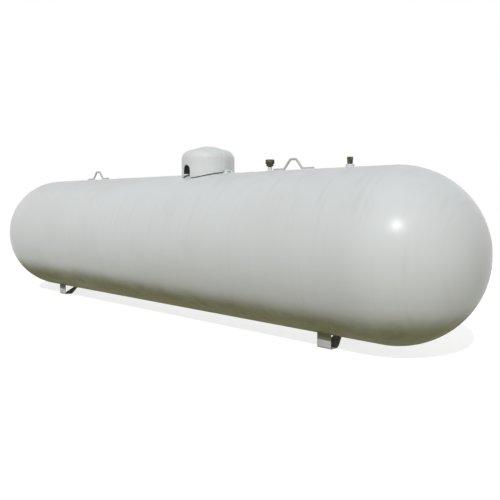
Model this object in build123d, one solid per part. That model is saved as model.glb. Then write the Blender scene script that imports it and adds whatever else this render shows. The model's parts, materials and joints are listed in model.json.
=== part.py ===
from build123d import *
import math
import os

os.makedirs("parts", exist_ok=True)

# Tank body, lying along X with its middle over the origin and the floor at z = 0
TANK_DIA = 1041.4
TANK_LENGTH = 4876.8
SHELL_WALL = 7.0
HEAD_WALL = 4.0
BELLY_CLEAR = 49.0

# Bent plate legs
LEG_INSET = 347.7
LEG_WIDTH = 102.0
LEG_PLATE = 6.0
LEG_FRONT = 222.0
LEG_DEPTH = 66.0
LEG_BEND = 6.0
STRAP_LEAN = 56.0
STRAP_TOP_WIDTH = 52.0
STRAP_BITE = 10.0

# Lifting lugs of bent round bar
LEFT_LUG_OUT = 1257.0
RIGHT_LUG_OUT = 1134.0
LUG_BAR = 16.0
LUG_SPREAD = 158.0
LUG_TOP = 50.0
LUG_RISE = 79.0
LUG_FOOT = 93.5
LUG_BEND = 16.0
LUG_SINK = 1.0

# Hinged hood over the valves
HOOD_X = 290.0
HOOD_DIA = 401.0
HOOD_SHEET = 3.0
HOOD_WALL_HEIGHT = 108.0
HOOD_SHOULDER = 70.0
HOOD_SLOPE = 16.0
HOOD_CROWN_RADIUS = 260.0
HOOD_GAP = 8.0

# Arched notch in the front of the hood
NOTCH_WIDTH = 80.0
NOTCH_TOP = 64.0
NOTCH_BEARING = -95.5

# Hinge at the right end of the hood
HINGE_OUT = 13.0
HINGE_UP = 18.0
PIN_DIA = 8.0
PIN_PLAY = 0.5
PIN_HEAD_DIA = 13.0
PIN_HEAD = 3.0
BARREL_WALL = 4.0
BARREL_LENGTH = 50.0
LEAF_WRAP = 50.0
LEAF_PLATE = 4.0
CHEEK_PLATE = 6.0
CHEEK_RADIUS = 7.5
CHEEK_REACH = 34.0
CHEEK_PLAY = 1.5
BASE_PLATE = 4.0
BASE_MARGIN = 6.0

# Padlock eyes at the left end of the hood
EYE_PLATE = 5.0
EYE_GAP = 6.0
EYE_REACH = 34.0
EYE_UP = 36.0
EYE_HOLE = 12.0
EYE_RADIUS = 13.0
EYE_FOOT = 40.0

# Fittings that stand on the tank, placed from the hood's middle
COUPLING_RISE = 20.0
COUPLING_CHAMFER = 2.0
CAP_CHAMFER = 2.5
CAP_FLUTE = 2.8
SERVICE_DX = -22.0
SERVICE_DY = -78.0
FILL_DX = -104.0
FILL_DY = 38.0
GAUGE_DX = 0.0
GAUGE_DY = 56.0
RELIEF_DX = 96.0
RELIEF_DY = 36.0
VAPOUR_DX = 74.0
VAPOUR_DY = -68.0

# Service valve
SERVICE_COUPLING_DIA = 46.0
SERVICE_HEX = 36.0
SERVICE_HEX_RISE = 16.0
SERVICE_BODY_DIA = 32.0
SERVICE_BODY_RISE = 44.0
SERVICE_OUTLET_DIA = 30.0
SERVICE_OUTLET_REACH = 44.0
SERVICE_OUTLET_UP = 22.0
SERVICE_BONNET_HEX = 24.0
SERVICE_BONNET_RISE = 12.0
STEM_DIA = 9.0
STEM_RISE = 14.0
WHEEL_DIA = 62.0
WHEEL_RIM = 9.0
WHEEL_CHAMFER = 2.5
WHEEL_HUB_DIA = 20.0
WHEEL_HUB_RISE = 14.0
WHEEL_SPOKES = 3
WHEEL_SPOKE_WIDTH = 8.0
PLUG_DIA = 36.0
PLUG_LENGTH = 12.0

# Fill valve
FILL_COUPLING_DIA = 62.0
FILL_HEX = 50.0
FILL_HEX_RISE = 18.0
FILL_BODY_DIA = 42.0
FILL_BODY_RISE = 16.0
FILL_CAP_DIA = 56.0
FILL_CAP_RISE = 30.0
FILL_FLUTES = 12

# Float gauge
GAUGE_COUPLING_DIA = 50.0
GAUGE_FLANGE_DIA = 64.0
GAUGE_FLANGE_RISE = 10.0
GAUGE_FLANGE_CORNER = 13.0
GAUGE_HEAD_DIA = 44.0
GAUGE_HEAD_RISE = 12.0
DIAL_DIA = 50.0
DIAL_RISE = 13.0
DIAL_CHAMFER = 4.0

# Relief valve
RELIEF_COUPLING_DIA = 72.0
RELIEF_HEX = 58.0
RELIEF_HEX_RISE = 20.0
RELIEF_BODY_DIA = 54.0
RELIEF_BODY_RISE = 62.0
RELIEF_CAP_DIA = 62.0
RELIEF_CAP_RISE = 16.0
RELIEF_FLUTES = 8

# Vapour return valve
VAPOUR_COUPLING_DIA = 50.0
VAPOUR_HEX = 40.0
VAPOUR_HEX_RISE = 15.0
VAPOUR_BODY_DIA = 32.0
VAPOUR_BODY_RISE = 14.0
VAPOUR_CAP_DIA = 42.0
VAPOUR_CAP_RISE = 22.0
VAPOUR_FLUTES = 10

# Open air fittings to the right of the hood
LIQUID_GAP = 20.0
LIQUID_COUPLING_DIA = 31.0
LIQUID_COUPLING_RISE = 28.0
LIQUID_NECK_DIA = 26.0
LIQUID_NECK_RISE = 4.0
LIQUID_HEX = 46.0
LIQUID_HEX_RISE = 17.0
LIQUID_CAP_DIA = 62.0
LIQUID_CAP_RISE = 29.0
LIQUID_FLUTES = 12
DRAIN_GAP = 255.0
DRAIN_COUPLING_DIA = 53.0
DRAIN_COUPLING_RISE = 18.0
DRAIN_FOOT_DIA = 33.0
DRAIN_TOP_DIA = 39.0
DRAIN_RISE = 44.0

# How far a welded piece reaches into the hood or the tank before it is cut to their curve
HOOD_BITE = 20.0
TANK_BITE = 1.0

# Sizes that follow from the ones above
TANK_RADIUS = TANK_DIA / 2
AXIS_Z = TANK_RADIUS + BELLY_CLEAR
CROWN_Z = AXIS_Z + TANK_RADIUS
SHELL_LENGTH = TANK_LENGTH - TANK_DIA
LEG_OUT = SHELL_LENGTH / 2 - LEG_INSET
LUG_HALF = LUG_SPREAD / 2 + LUG_FOOT
LIQUID_X = RIGHT_LUG_OUT - LUG_HALF - LIQUID_GAP - LIQUID_COUPLING_DIA / 2
DRAIN_X = RIGHT_LUG_OUT + LUG_HALF + DRAIN_GAP + DRAIN_COUPLING_DIA / 2
HOOD_RADIUS = HOOD_DIA / 2
HINGE_X = HOOD_X + HOOD_RADIUS + HINGE_OUT
HINGE_Z = CROWN_Z + HINGE_UP
BORE_DIA = PIN_DIA + 2 * PIN_PLAY
BARREL_DIA = BORE_DIA + 2 * BARREL_WALL
CHEEK_INNER = BARREL_LENGTH / 2 + CHEEK_PLAY
CHEEK_OUTER = CHEEK_INNER + CHEEK_PLATE
FAR = 2 * TANK_DIA


def save(node, solid):
    """Write one node to its own STEP file."""
    export_step(solid, os.path.join("parts", node + ".step"))


def tank_solid(extra=0.0):
    """The tank's outside as one solid with round ends, made larger by extra all round."""
    body = Cylinder(TANK_RADIUS + extra, SHELL_LENGTH, rotation=(0, 90, 0))
    for end in (-1, 1):
        body += Pos(end * SHELL_LENGTH / 2, 0, 0) * Sphere(TANK_RADIUS + extra)
    return Pos(0, 0, AXIS_Z) * body


def hood_solid():
    """The hood's outer wall carried down and up as one upright bar."""
    return Pos(HOOD_X, 0, CROWN_Z) * Cylinder(HOOD_RADIUS, FAR)


def upright(x, y, z, dia, rise, top_dia=None):
    """A round bar, or a taper, that stands at x, y with its foot at z."""
    place = Pos(x, y, z)
    if top_dia is None:
        return place * Cylinder(dia / 2, rise, align=(Align.CENTER, Align.CENTER, Align.MIN))
    return place * Cone(dia / 2, top_dia / 2, rise, align=(Align.CENTER, Align.CENTER, Align.MIN))


def hexagon(x, y, z, across, rise):
    """A hexagon bar that stands at x, y with its foot at z, measured across its flats."""
    outline = RegularPolygon(across / math.sqrt(3), 6)
    return Pos(x, y, z) * extrude(outline, amount=rise)


def coupling(x, y, dia, rise):
    """A welded half coupling: flat on top, cut below to the curve of the tank."""
    top = CROWN_Z + rise
    bar = upright(x, y, AXIS_Z, dia, top - AXIS_Z)
    bar = chamfer(bar.faces().sort_by(Axis.Z)[-1].edges(), COUPLING_CHAMFER)
    return bar - tank_solid()


def cap(x, y, z, dia, rise, flutes):
    """A screw cap with grip flutes round its side and a chamfered top."""
    body = upright(x, y, z, dia, rise)
    body = chamfer(body.faces().sort_by(Axis.Z)[-1].edges(), CAP_CHAMFER)
    groove = Cylinder(CAP_FLUTE, FAR)
    for turn in range(flutes):
        angle = math.radians(360 * turn / flutes)
        body -= Pos(x + dia / 2 * math.cos(angle), y + dia / 2 * math.sin(angle), z) * groove
    return body


def make_shell():
    """The plain rolled shell between the two heads."""
    tube = Cylinder(TANK_RADIUS, SHELL_LENGTH) - Cylinder(TANK_RADIUS - SHELL_WALL, SHELL_LENGTH)
    return Pos(0, 0, AXIS_Z) * Rot(0, 90, 0) * tube


def make_head(side):
    """A hollow half ball that closes one end of the shell."""
    ball = Sphere(TANK_RADIUS) - Sphere(TANK_RADIUS - HEAD_WALL)
    keep = Box(TANK_DIA, FAR, FAR, align=(Align.MIN, Align.CENTER, Align.CENTER))
    half = ball & keep
    if side < 0:
        half = Rot(0, 0, 180) * half
    return Pos(side * SHELL_LENGTH / 2, 0, AXIS_Z) * half


def make_leg(end, side):
    """One leg: a plate bent to a U, its front upright, its back a leaning strap that narrows."""
    angle = math.radians(STRAP_LEAN)
    lean = math.tan(angle)
    across = LEG_PLATE / math.cos(angle)
    strap_y = LEG_DEPTH - LEG_FRONT
    # The strap's length up to where its outer face meets the tank
    along = AXIS_Z * math.cos(angle) - strap_y * math.sin(angle)
    reach = along - math.sqrt(along ** 2 - strap_y ** 2 - AXIS_Z ** 2 + TANK_RADIUS ** 2)
    finish = reach * math.cos(angle)
    strap_top = finish + STRAP_BITE
    outer = [(-LEG_FRONT, AXIS_Z), (-LEG_FRONT, 0), (strap_y, 0), (strap_y + lean * strap_top, strap_top)]
    inner = [(strap_y - across + lean * strap_top, strap_top),
             (strap_y - across + lean * LEG_PLATE, LEG_PLATE),
             (LEG_PLATE - LEG_FRONT, LEG_PLATE), (LEG_PLATE - LEG_FRONT, AXIS_Z)]
    outline = FilletPolyline(*outer, radius=LEG_BEND + LEG_PLATE) + FilletPolyline(*inner, radius=LEG_BEND)
    outline += Line(outer[-1], inner[0])
    outline += Line(inner[-1], outer[0])
    plate = extrude(Plane.YZ * make_face(outline), amount=LEG_WIDTH / 2, both=True)
    # The strap narrows from the bend up to the tank
    start = LEG_PLATE + LEG_BEND
    for hand in (-1, 1):
        wedge = [(hand * LEG_WIDTH / 2, start), (hand * LEG_WIDTH, start), (hand * LEG_WIDTH, strap_top),
                 (hand * STRAP_TOP_WIDTH / 2, strap_top), (hand * STRAP_TOP_WIDTH / 2, finish)]
        corner = make_face(Polyline(*wedge, close=True))
        back = Plane.XZ.offset(LEG_FRONT - LEG_PLATE - LEG_BEND) * corner
        plate -= extrude(back, amount=-LEG_FRONT)
    if side > 0:
        plate = mirror(plate, Plane.XZ)
    place = Pos(end * LEG_OUT, 0, 0)
    return place * plate - tank_solid()


def make_lug(x):
    """A lifting lug of round bar: two feet along the crown and a flat topped loop between them."""
    low = LUG_BAR / 2 - LUG_SINK
    high = LUG_RISE - LUG_BAR / 2
    route = [(-LUG_SPREAD / 2 - LUG_FOOT, low), (-LUG_SPREAD / 2, low), (-LUG_TOP / 2, high),
             (LUG_TOP / 2, high), (LUG_SPREAD / 2, low), (LUG_SPREAD / 2 + LUG_FOOT, low)]
    path = Plane.XZ * FilletPolyline(*route, radius=LUG_BEND)
    section = Plane(path @ 0, z_dir=path % 0) * Circle(LUG_BAR / 2)
    bar = sweep(section, path)
    return Pos(x, 0, CROWN_Z) * bar - tank_solid()


def hood_outline(inset):
    """Half of the hood's section, from the wall's foot over the shoulder and slope to the top."""
    radius = HOOD_RADIUS - inset
    shoulder = HOOD_SHOULDER - inset
    middle = HOOD_CROWN_RADIUS - inset
    turn = math.radians(HOOD_SLOPE)
    wall_top = HOOD_WALL_HEIGHT
    foot = -HOOD_RADIUS
    bend_x = HOOD_RADIUS - HOOD_SHOULDER
    slope_x = bend_x + shoulder * math.sin(turn)
    slope_z = wall_top + shoulder * math.cos(turn)
    dome_x = middle * math.sin(turn)
    dome_z = slope_z + (slope_x - dome_x) * math.tan(turn)
    top_z = dome_z + middle * (1 - math.cos(turn))
    half = (math.pi / 2 - turn) / 2
    bend_mid = (bend_x + shoulder * math.cos(half), wall_top + shoulder * math.sin(half))
    dome_mid = (middle * math.sin(turn / 2), top_z - middle * (1 - math.cos(turn / 2)))
    line = Line((radius, foot), (radius, wall_top))
    line += ThreePointArc((radius, wall_top), bend_mid, (slope_x, slope_z))
    line += Line((slope_x, slope_z), (dome_x, dome_z))
    line += ThreePointArc((dome_x, dome_z), dome_mid, (0, top_z))
    line += Line((0, top_z), (0, foot))
    line += Line((0, foot), (radius, foot))
    return make_face(line)


def make_hood():
    """The pressed hood: a round wall, a rounded shoulder, a shallow cone, a saddle rim and a notch."""
    section = Plane.XZ * (hood_outline(0.0) - hood_outline(HOOD_SHEET))
    hood = revolve(section, Axis.Z)
    hood = Pos(HOOD_X, 0, CROWN_Z) * hood
    hood -= tank_solid(HOOD_GAP)
    arch = NOTCH_WIDTH / 2
    spring = NOTCH_TOP - arch
    opening = Pos(HOOD_RADIUS, 0, spring) * Cylinder(arch, HOOD_RADIUS, rotation=(0, 90, 0))
    opening += Pos(HOOD_RADIUS, 0, spring) * Box(HOOD_RADIUS, NOTCH_WIDTH, HOOD_RADIUS,
                                               align=(Align.CENTER, Align.CENTER, Align.MAX))
    return hood - Pos(HOOD_X, 0, CROWN_Z) * Rot(0, 0, NOTCH_BEARING) * opening


def make_hinge_leaf():
    """The hinge leaf: a strap bent over the hood's wall and shoulder, with a bored barrel for the pin."""
    strap = revolve(Plane.XZ * (hood_outline(-LEAF_PLATE) - hood_outline(0.0)), Axis.Z)
    strap &= Pos(0, 0, HINGE_UP) * Box(FAR, BARREL_LENGTH, FAR, align=(Align.MIN, Align.CENTER, Align.MIN))
    below = Box(FAR, FAR, FAR, align=(Align.CENTER, Align.CENTER, Align.MAX))
    strap &= Pos(HOOD_RADIUS - HOOD_SHOULDER, 0, HOOD_WALL_HEIGHT) * Rot(0, -LEAF_WRAP, 0) * below
    barrel = Pos(HINGE_X, 0, HINGE_Z) * Cylinder(BARREL_DIA / 2, BARREL_LENGTH, rotation=(90, 0, 0))
    barrel += Pos(HINGE_X, 0, HINGE_Z) * Box(HINGE_OUT, BARREL_LENGTH, BARREL_DIA / 2,
                                            align=(Align.MAX, Align.CENTER, Align.MIN))
    leaf = Pos(HOOD_X, 0, CROWN_Z) * strap + (barrel - hood_solid())
    return leaf - Pos(HINGE_X, 0, HINGE_Z) * Cylinder(BORE_DIA / 2, BARREL_LENGTH, rotation=(90, 0, 0))


def make_hinge_bracket():
    """Two cheeks on a base plate that is shaped to the crown, bored for the pin."""
    cheek = Line((-CHEEK_RADIUS, -HINGE_UP), (-CHEEK_RADIUS, 0))
    cheek += ThreePointArc((-CHEEK_RADIUS, 0), (0, CHEEK_RADIUS), (CHEEK_RADIUS, 0))
    cheek += Line((CHEEK_RADIUS, 0), (CHEEK_REACH, BASE_PLATE - HINGE_UP))
    cheek += Line((CHEEK_REACH, BASE_PLATE - HINGE_UP), (CHEEK_REACH, -HINGE_UP))
    cheek += Line((CHEEK_REACH, -HINGE_UP), (-CHEEK_RADIUS, -HINGE_UP))
    side = extrude(Plane.XZ * make_face(cheek), amount=CHEEK_PLATE)
    bracket = Pos(HINGE_X, -CHEEK_INNER, HINGE_Z) * side
    bracket += Pos(HINGE_X, CHEEK_OUTER, HINGE_Z) * side
    half = CHEEK_OUTER + BASE_MARGIN
    drop = TANK_RADIUS - math.sqrt(TANK_RADIUS ** 2 - half ** 2)
    bracket += Pos(HINGE_X - CHEEK_RADIUS, 0, CROWN_Z + BASE_PLATE) * Box(
        CHEEK_REACH + CHEEK_RADIUS, 2 * half, BASE_PLATE + drop + TANK_BITE,
        align=(Align.MIN, Align.CENTER, Align.MAX))
    bracket -= tank_solid()
    return bracket - Pos(HINGE_X, 0, HINGE_Z) * Cylinder(PIN_DIA / 2, FAR, rotation=(90, 0, 0))


def make_hinge_pin():
    """The hinge pin with a flat head against the outside of each cheek."""
    pin = Cylinder(PIN_DIA / 2, 2 * CHEEK_OUTER)
    for hand in (-1, 1):
        pin += Pos(0, 0, hand * (CHEEK_OUTER + PIN_HEAD / 2)) * Cylinder(PIN_HEAD_DIA / 2, PIN_HEAD)
    return Pos(HINGE_X, 0, HINGE_Z) * Rot(90, 0, 0) * pin


def eye_outline(foot_left, foot_right, foot_z):
    """A padlock eye: a round end about the hole, with a straight foot below or beside it."""
    ring = Circle(EYE_RADIUS)
    foot = make_face(Polyline((foot_left, foot_z), (foot_right, foot_z), (EYE_RADIUS, 0), (-EYE_RADIUS, 0),
                              close=True))
    return ring + foot - Circle(EYE_HOLE / 2)


def make_tank_eye():
    """The padlock eye that is welded to the crown."""
    eye = extrude(Plane.XZ * eye_outline(-EYE_FOOT / 2, EYE_FOOT / 2, -EYE_UP - TANK_BITE), amount=EYE_PLATE)
    eye_x = HOOD_X - HOOD_RADIUS - EYE_REACH
    return Pos(eye_x, -EYE_GAP / 2, CROWN_Z + EYE_UP) * eye - tank_solid()


def make_hood_eye():
    """The padlock eye that is welded to the hood's wall, beside the one on the tank."""
    tab = Box(EYE_REACH + HOOD_BITE, EYE_PLATE, 2 * EYE_RADIUS,
              align=(Align.MIN, Align.CENTER, Align.CENTER))
    tab += Cylinder(EYE_RADIUS, EYE_PLATE, rotation=(90, 0, 0))
    tab -= Cylinder(EYE_HOLE / 2, EYE_PLATE, rotation=(90, 0, 0))
    eye_x = HOOD_X - HOOD_RADIUS - EYE_REACH
    return Pos(eye_x, EYE_GAP / 2 + EYE_PLATE / 2, CROWN_Z + EYE_UP) * tab - hood_solid()


def make_service_valve(x, y, z):
    """The service valve: hexagon, round body, bonnet, stem and an outlet toward the front."""
    body_z = z + SERVICE_HEX_RISE
    bonnet_z = body_z + SERVICE_BODY_RISE
    valve = hexagon(x, y, z, SERVICE_HEX, SERVICE_HEX_RISE)
    valve += upright(x, y, body_z, SERVICE_BODY_DIA, SERVICE_BODY_RISE)
    valve += hexagon(x, y, bonnet_z, SERVICE_BONNET_HEX, SERVICE_BONNET_RISE)
    valve += upright(x, y, bonnet_z + SERVICE_BONNET_RISE, STEM_DIA, STEM_RISE)
    outlet = Cylinder(SERVICE_OUTLET_DIA / 2, SERVICE_OUTLET_REACH, rotation=(90, 0, 0),
                      align=(Align.CENTER, Align.CENTER, Align.MIN))
    return valve + Pos(x, y, body_z + SERVICE_OUTLET_UP) * outlet


def make_wheel(x, y, z):
    """A handwheel: a round rim on spokes about a hub that sits on the stem."""
    reach = WHEEL_DIA / 2 - WHEEL_RIM / 2
    ring = Cylinder(WHEEL_DIA / 2, WHEEL_RIM) - Cylinder(WHEEL_DIA / 2 - WHEEL_RIM, WHEEL_RIM)
    ring = chamfer(ring.edges().filter_by(GeomType.CIRCLE), WHEEL_CHAMFER)
    wheel = Cylinder(WHEEL_HUB_DIA / 2, WHEEL_HUB_RISE) + ring
    for turn in range(WHEEL_SPOKES):
        spoke = Box(reach, WHEEL_SPOKE_WIDTH, WHEEL_RIM / 2, align=(Align.MIN, Align.CENTER, Align.CENTER))
        wheel += Rot(0, 0, 360 * turn / WHEEL_SPOKES) * spoke
    return Pos(x, y, z + WHEEL_HUB_RISE / 2) * wheel


def make_plain_valve(x, y, z, across, hex_rise, dia, rise):
    """A valve body: a hexagon with a round neck on top."""
    return hexagon(x, y, z, across, hex_rise) + upright(x, y, z + hex_rise, dia, rise)


def make_gauge(x, y, z):
    """The float gauge's flange with the head that carries the dial."""
    flange = RectangleRounded(GAUGE_FLANGE_DIA, GAUGE_FLANGE_DIA, GAUGE_FLANGE_CORNER)
    body = Pos(x, y, z) * extrude(flange, amount=GAUGE_FLANGE_RISE)
    return body + upright(x, y, z + GAUGE_FLANGE_RISE, GAUGE_HEAD_DIA, GAUGE_HEAD_RISE)


def make_dial(x, y, z):
    """The gauge's dial under a low round lens."""
    dial = upright(x, y, z, DIAL_DIA, DIAL_RISE)
    return chamfer(dial.faces().sort_by(Axis.Z)[-1].edges(), DIAL_CHAMFER)


save("shell", make_shell())
for end, name in ((-1, "left"), (1, "right")):
    save(name + "_head", make_head(end))
    for side, place in ((-1, "front"), (1, "back")):
        save(place + "_" + name + "_leg", make_leg(end, side))

save("left_lifting_lug", make_lug(-LEFT_LUG_OUT))
save("right_lifting_lug", make_lug(RIGHT_LUG_OUT))
save("hood", make_hood())
save("hood_hinge_leaf", make_hinge_leaf())
save("hood_padlock_eye", make_hood_eye())
save("hinge_bracket", make_hinge_bracket())
save("hinge_pin", make_hinge_pin())
save("tank_padlock_eye", make_tank_eye())

seat = CROWN_Z + COUPLING_RISE

x, y = HOOD_X + SERVICE_DX, SERVICE_DY
stem_top = seat + SERVICE_HEX_RISE + SERVICE_BODY_RISE + SERVICE_BONNET_RISE + STEM_RISE
outlet_z = seat + SERVICE_HEX_RISE + SERVICE_OUTLET_UP
save("service_coupling", coupling(x, y, SERVICE_COUPLING_DIA, COUPLING_RISE))
save("service_valve", make_service_valve(x, y, seat))
save("service_handwheel", make_wheel(x, y, stem_top))
plug = Cylinder(PLUG_DIA / 2, PLUG_LENGTH, rotation=(90, 0, 0), align=(Align.CENTER, Align.CENTER, Align.MIN))
save("service_outlet_plug", Pos(x, y - SERVICE_OUTLET_REACH, outlet_z) * plug)

x, y = HOOD_X + FILL_DX, FILL_DY
cap_z = seat + FILL_HEX_RISE + FILL_BODY_RISE
save("fill_coupling", coupling(x, y, FILL_COUPLING_DIA, COUPLING_RISE))
save("fill_valve", make_plain_valve(x, y, seat, FILL_HEX, FILL_HEX_RISE, FILL_BODY_DIA, FILL_BODY_RISE))
save("fill_cap", cap(x, y, cap_z, FILL_CAP_DIA, FILL_CAP_RISE, FILL_FLUTES))

x, y = HOOD_X + GAUGE_DX, GAUGE_DY
dial_z = seat + GAUGE_FLANGE_RISE + GAUGE_HEAD_RISE
save("gauge_coupling", coupling(x, y, GAUGE_COUPLING_DIA, COUPLING_RISE))
save("gauge_body", make_gauge(x, y, seat))
save("gauge_dial", make_dial(x, y, dial_z))

x, y = HOOD_X + RELIEF_DX, RELIEF_DY
cap_z = seat + RELIEF_HEX_RISE + RELIEF_BODY_RISE
save("relief_coupling", coupling(x, y, RELIEF_COUPLING_DIA, COUPLING_RISE))
save("relief_valve", make_plain_valve(x, y, seat, RELIEF_HEX, RELIEF_HEX_RISE, RELIEF_BODY_DIA,
                                      RELIEF_BODY_RISE))
save("relief_cap", cap(x, y, cap_z, RELIEF_CAP_DIA, RELIEF_CAP_RISE, RELIEF_FLUTES))

x, y = HOOD_X + VAPOUR_DX, VAPOUR_DY
cap_z = seat + VAPOUR_HEX_RISE + VAPOUR_BODY_RISE
save("vapour_coupling", coupling(x, y, VAPOUR_COUPLING_DIA, COUPLING_RISE))
save("vapour_valve", make_plain_valve(x, y, seat, VAPOUR_HEX, VAPOUR_HEX_RISE, VAPOUR_BODY_DIA,
                                      VAPOUR_BODY_RISE))
save("vapour_cap", cap(x, y, cap_z, VAPOUR_CAP_DIA, VAPOUR_CAP_RISE, VAPOUR_FLUTES))

neck_z = CROWN_Z + LIQUID_COUPLING_RISE
hex_z = neck_z + LIQUID_NECK_RISE
cap_z = hex_z + LIQUID_HEX_RISE
save("liquid_coupling", coupling(LIQUID_X, 0, LIQUID_COUPLING_DIA, LIQUID_COUPLING_RISE))
save("liquid_valve", upright(LIQUID_X, 0, neck_z, LIQUID_NECK_DIA, LIQUID_NECK_RISE)
     + hexagon(LIQUID_X, 0, hex_z, LIQUID_HEX, LIQUID_HEX_RISE))
save("liquid_cap", cap(LIQUID_X, 0, cap_z, LIQUID_CAP_DIA, LIQUID_CAP_RISE, LIQUID_FLUTES))

save("drain_coupling", coupling(DRAIN_X, 0, DRAIN_COUPLING_DIA, DRAIN_COUPLING_RISE))
foot_z = CROWN_Z + DRAIN_COUPLING_RISE
save("drain_plug", upright(DRAIN_X, 0, foot_z, DRAIN_FOOT_DIA, DRAIN_RISE, DRAIN_TOP_DIA))
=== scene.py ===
"""Looks of a long pressure tank with ball ends, bent-plate legs, lifting loops, valves and a hinged hood.

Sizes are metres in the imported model's frame: X runs along the tank, Y across it and Z up from the floor.
"""
import json
import logging
import math
from dataclasses import dataclass, field
from enum import Enum
from typing import Any, Callable, Sequence

import bmesh
import bpy
from bmesh.types import BMEdge, BMesh, BMVert
from mathutils import Matrix, Vector, noise


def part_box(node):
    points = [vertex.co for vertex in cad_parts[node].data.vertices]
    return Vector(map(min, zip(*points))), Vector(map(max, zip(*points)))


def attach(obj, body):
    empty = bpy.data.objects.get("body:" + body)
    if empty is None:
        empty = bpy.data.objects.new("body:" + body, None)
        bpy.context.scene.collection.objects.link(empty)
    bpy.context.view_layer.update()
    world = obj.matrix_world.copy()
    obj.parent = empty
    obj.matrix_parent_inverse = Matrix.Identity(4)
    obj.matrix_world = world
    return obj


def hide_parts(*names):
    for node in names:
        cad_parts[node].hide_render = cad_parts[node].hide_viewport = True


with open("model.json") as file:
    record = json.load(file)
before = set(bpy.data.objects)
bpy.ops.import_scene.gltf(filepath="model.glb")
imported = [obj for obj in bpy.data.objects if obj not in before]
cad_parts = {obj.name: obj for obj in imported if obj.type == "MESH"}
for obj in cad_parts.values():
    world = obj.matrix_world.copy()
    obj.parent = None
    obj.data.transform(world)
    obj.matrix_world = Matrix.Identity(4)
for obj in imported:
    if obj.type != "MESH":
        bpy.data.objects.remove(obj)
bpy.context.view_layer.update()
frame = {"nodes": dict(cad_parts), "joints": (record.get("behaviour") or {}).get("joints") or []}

LOG = logging.getLogger("pressure_tank")
# Verts nearer than this are one, in metres.
MERGE = 1e-5
# Edges that turn further than this shade as sharp, in degrees.
CREASE = 38.0
ROUND_STEPS = 72
FULL_TURN = 360.0
HALF_TURN = 180.0
QUARTER_TURN = 90.0
UP = Vector((0.0, 0.0, 1.0))
ALONG = Vector((1.0, 0.0, 0.0))
ACROSS = Vector((0.0, 1.0, 0.0))

# The Mix node keeps its sockets for values and for colours side by side, so they go by number.
MIX_SHARE = 0
MIX_VALUES = (2, 3)
MIX_VALUE_OUT = 0
MIX_COLOURS = (6, 7)
MIX_COLOUR_OUT = 2

Point = tuple[float, float]
Span = tuple[float, float]
Place = tuple[float, float, float]
Colour = tuple[float, float, float]
Socket = bpy.types.NodeSocket
Reading = Socket | float
Tone = Socket | Colour

WHOLE: Span = (0.0, 1.0)
WHITE: Colour = (1.0, 1.0, 1.0)


class Body(Enum):
    """The bodies that pieces ride on."""

    TANK = "tank"
    HOOD = "hood"


class Finish(Enum):
    """The finishes of the object, most of them named as their slots in the record."""

    TANK_PAINT = "tank_paint"
    HOOD_PAINT = "hood_paint"
    LOOP_SHADED_PAINT = "loop_shaded_paint"
    LEG_SHADED_PAINT = "leg_shaded_paint"
    PIN_STEEL = "pin_steel"
    AGED_BRASS = "aged_brass"
    WEATHERED_SHADED_BRASS = "weathered_shaded_brass"
    GAUGE_ALLOY = "gauge_alloy"
    DARK_PLASTIC = "dark_plastic"
    RED_PLASTIC = "red_plastic"
    DIAL_PLASTIC = "dial_plastic"
    CLEAR_LENS = "clear_lens"

    def slot(self) -> str:
        """The record's slot, which some finishes share."""
        return SHARED_SLOTS.get(self, self).value


SHARED_SLOTS = {
    Finish.LOOP_SHADED_PAINT: Finish.TANK_PAINT,
    Finish.LEG_SHADED_PAINT: Finish.TANK_PAINT,
    Finish.WEATHERED_SHADED_BRASS: Finish.AGED_BRASS,
    Finish.CLEAR_LENS: Finish.DIAL_PLASTIC,
}


class Side(Enum):
    """Which face of the tank a piece is welded to, by the sign of its height over the axis."""

    CROWN = 1
    BELLY = -1


class Flank(Enum):
    """The long sides of the tank, by their words in the names of nodes."""

    FRONT = "front"
    BACK = "back"

    def hand(self) -> float:
        """The sign of the side's place across the tank."""
        return -1.0 if self is Flank.FRONT else 1.0

    def turned(self) -> float:
        """How far a piece made for the front turns to stand on this side, in degrees."""
        return 0.0 if self is Flank.FRONT else HALF_TURN


class End(Enum):
    """The ends of the tank, by their words in the names of nodes."""

    LEFT = "left"
    RIGHT = "right"


@dataclass(frozen=True)
class Pattern:
    """A noise pattern: its cells to the metre, its finer layers and how it is packed along each axis."""

    cells: float
    layers: float = 2.0
    packing: Place = (1.0, 1.0, 1.0)


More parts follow.
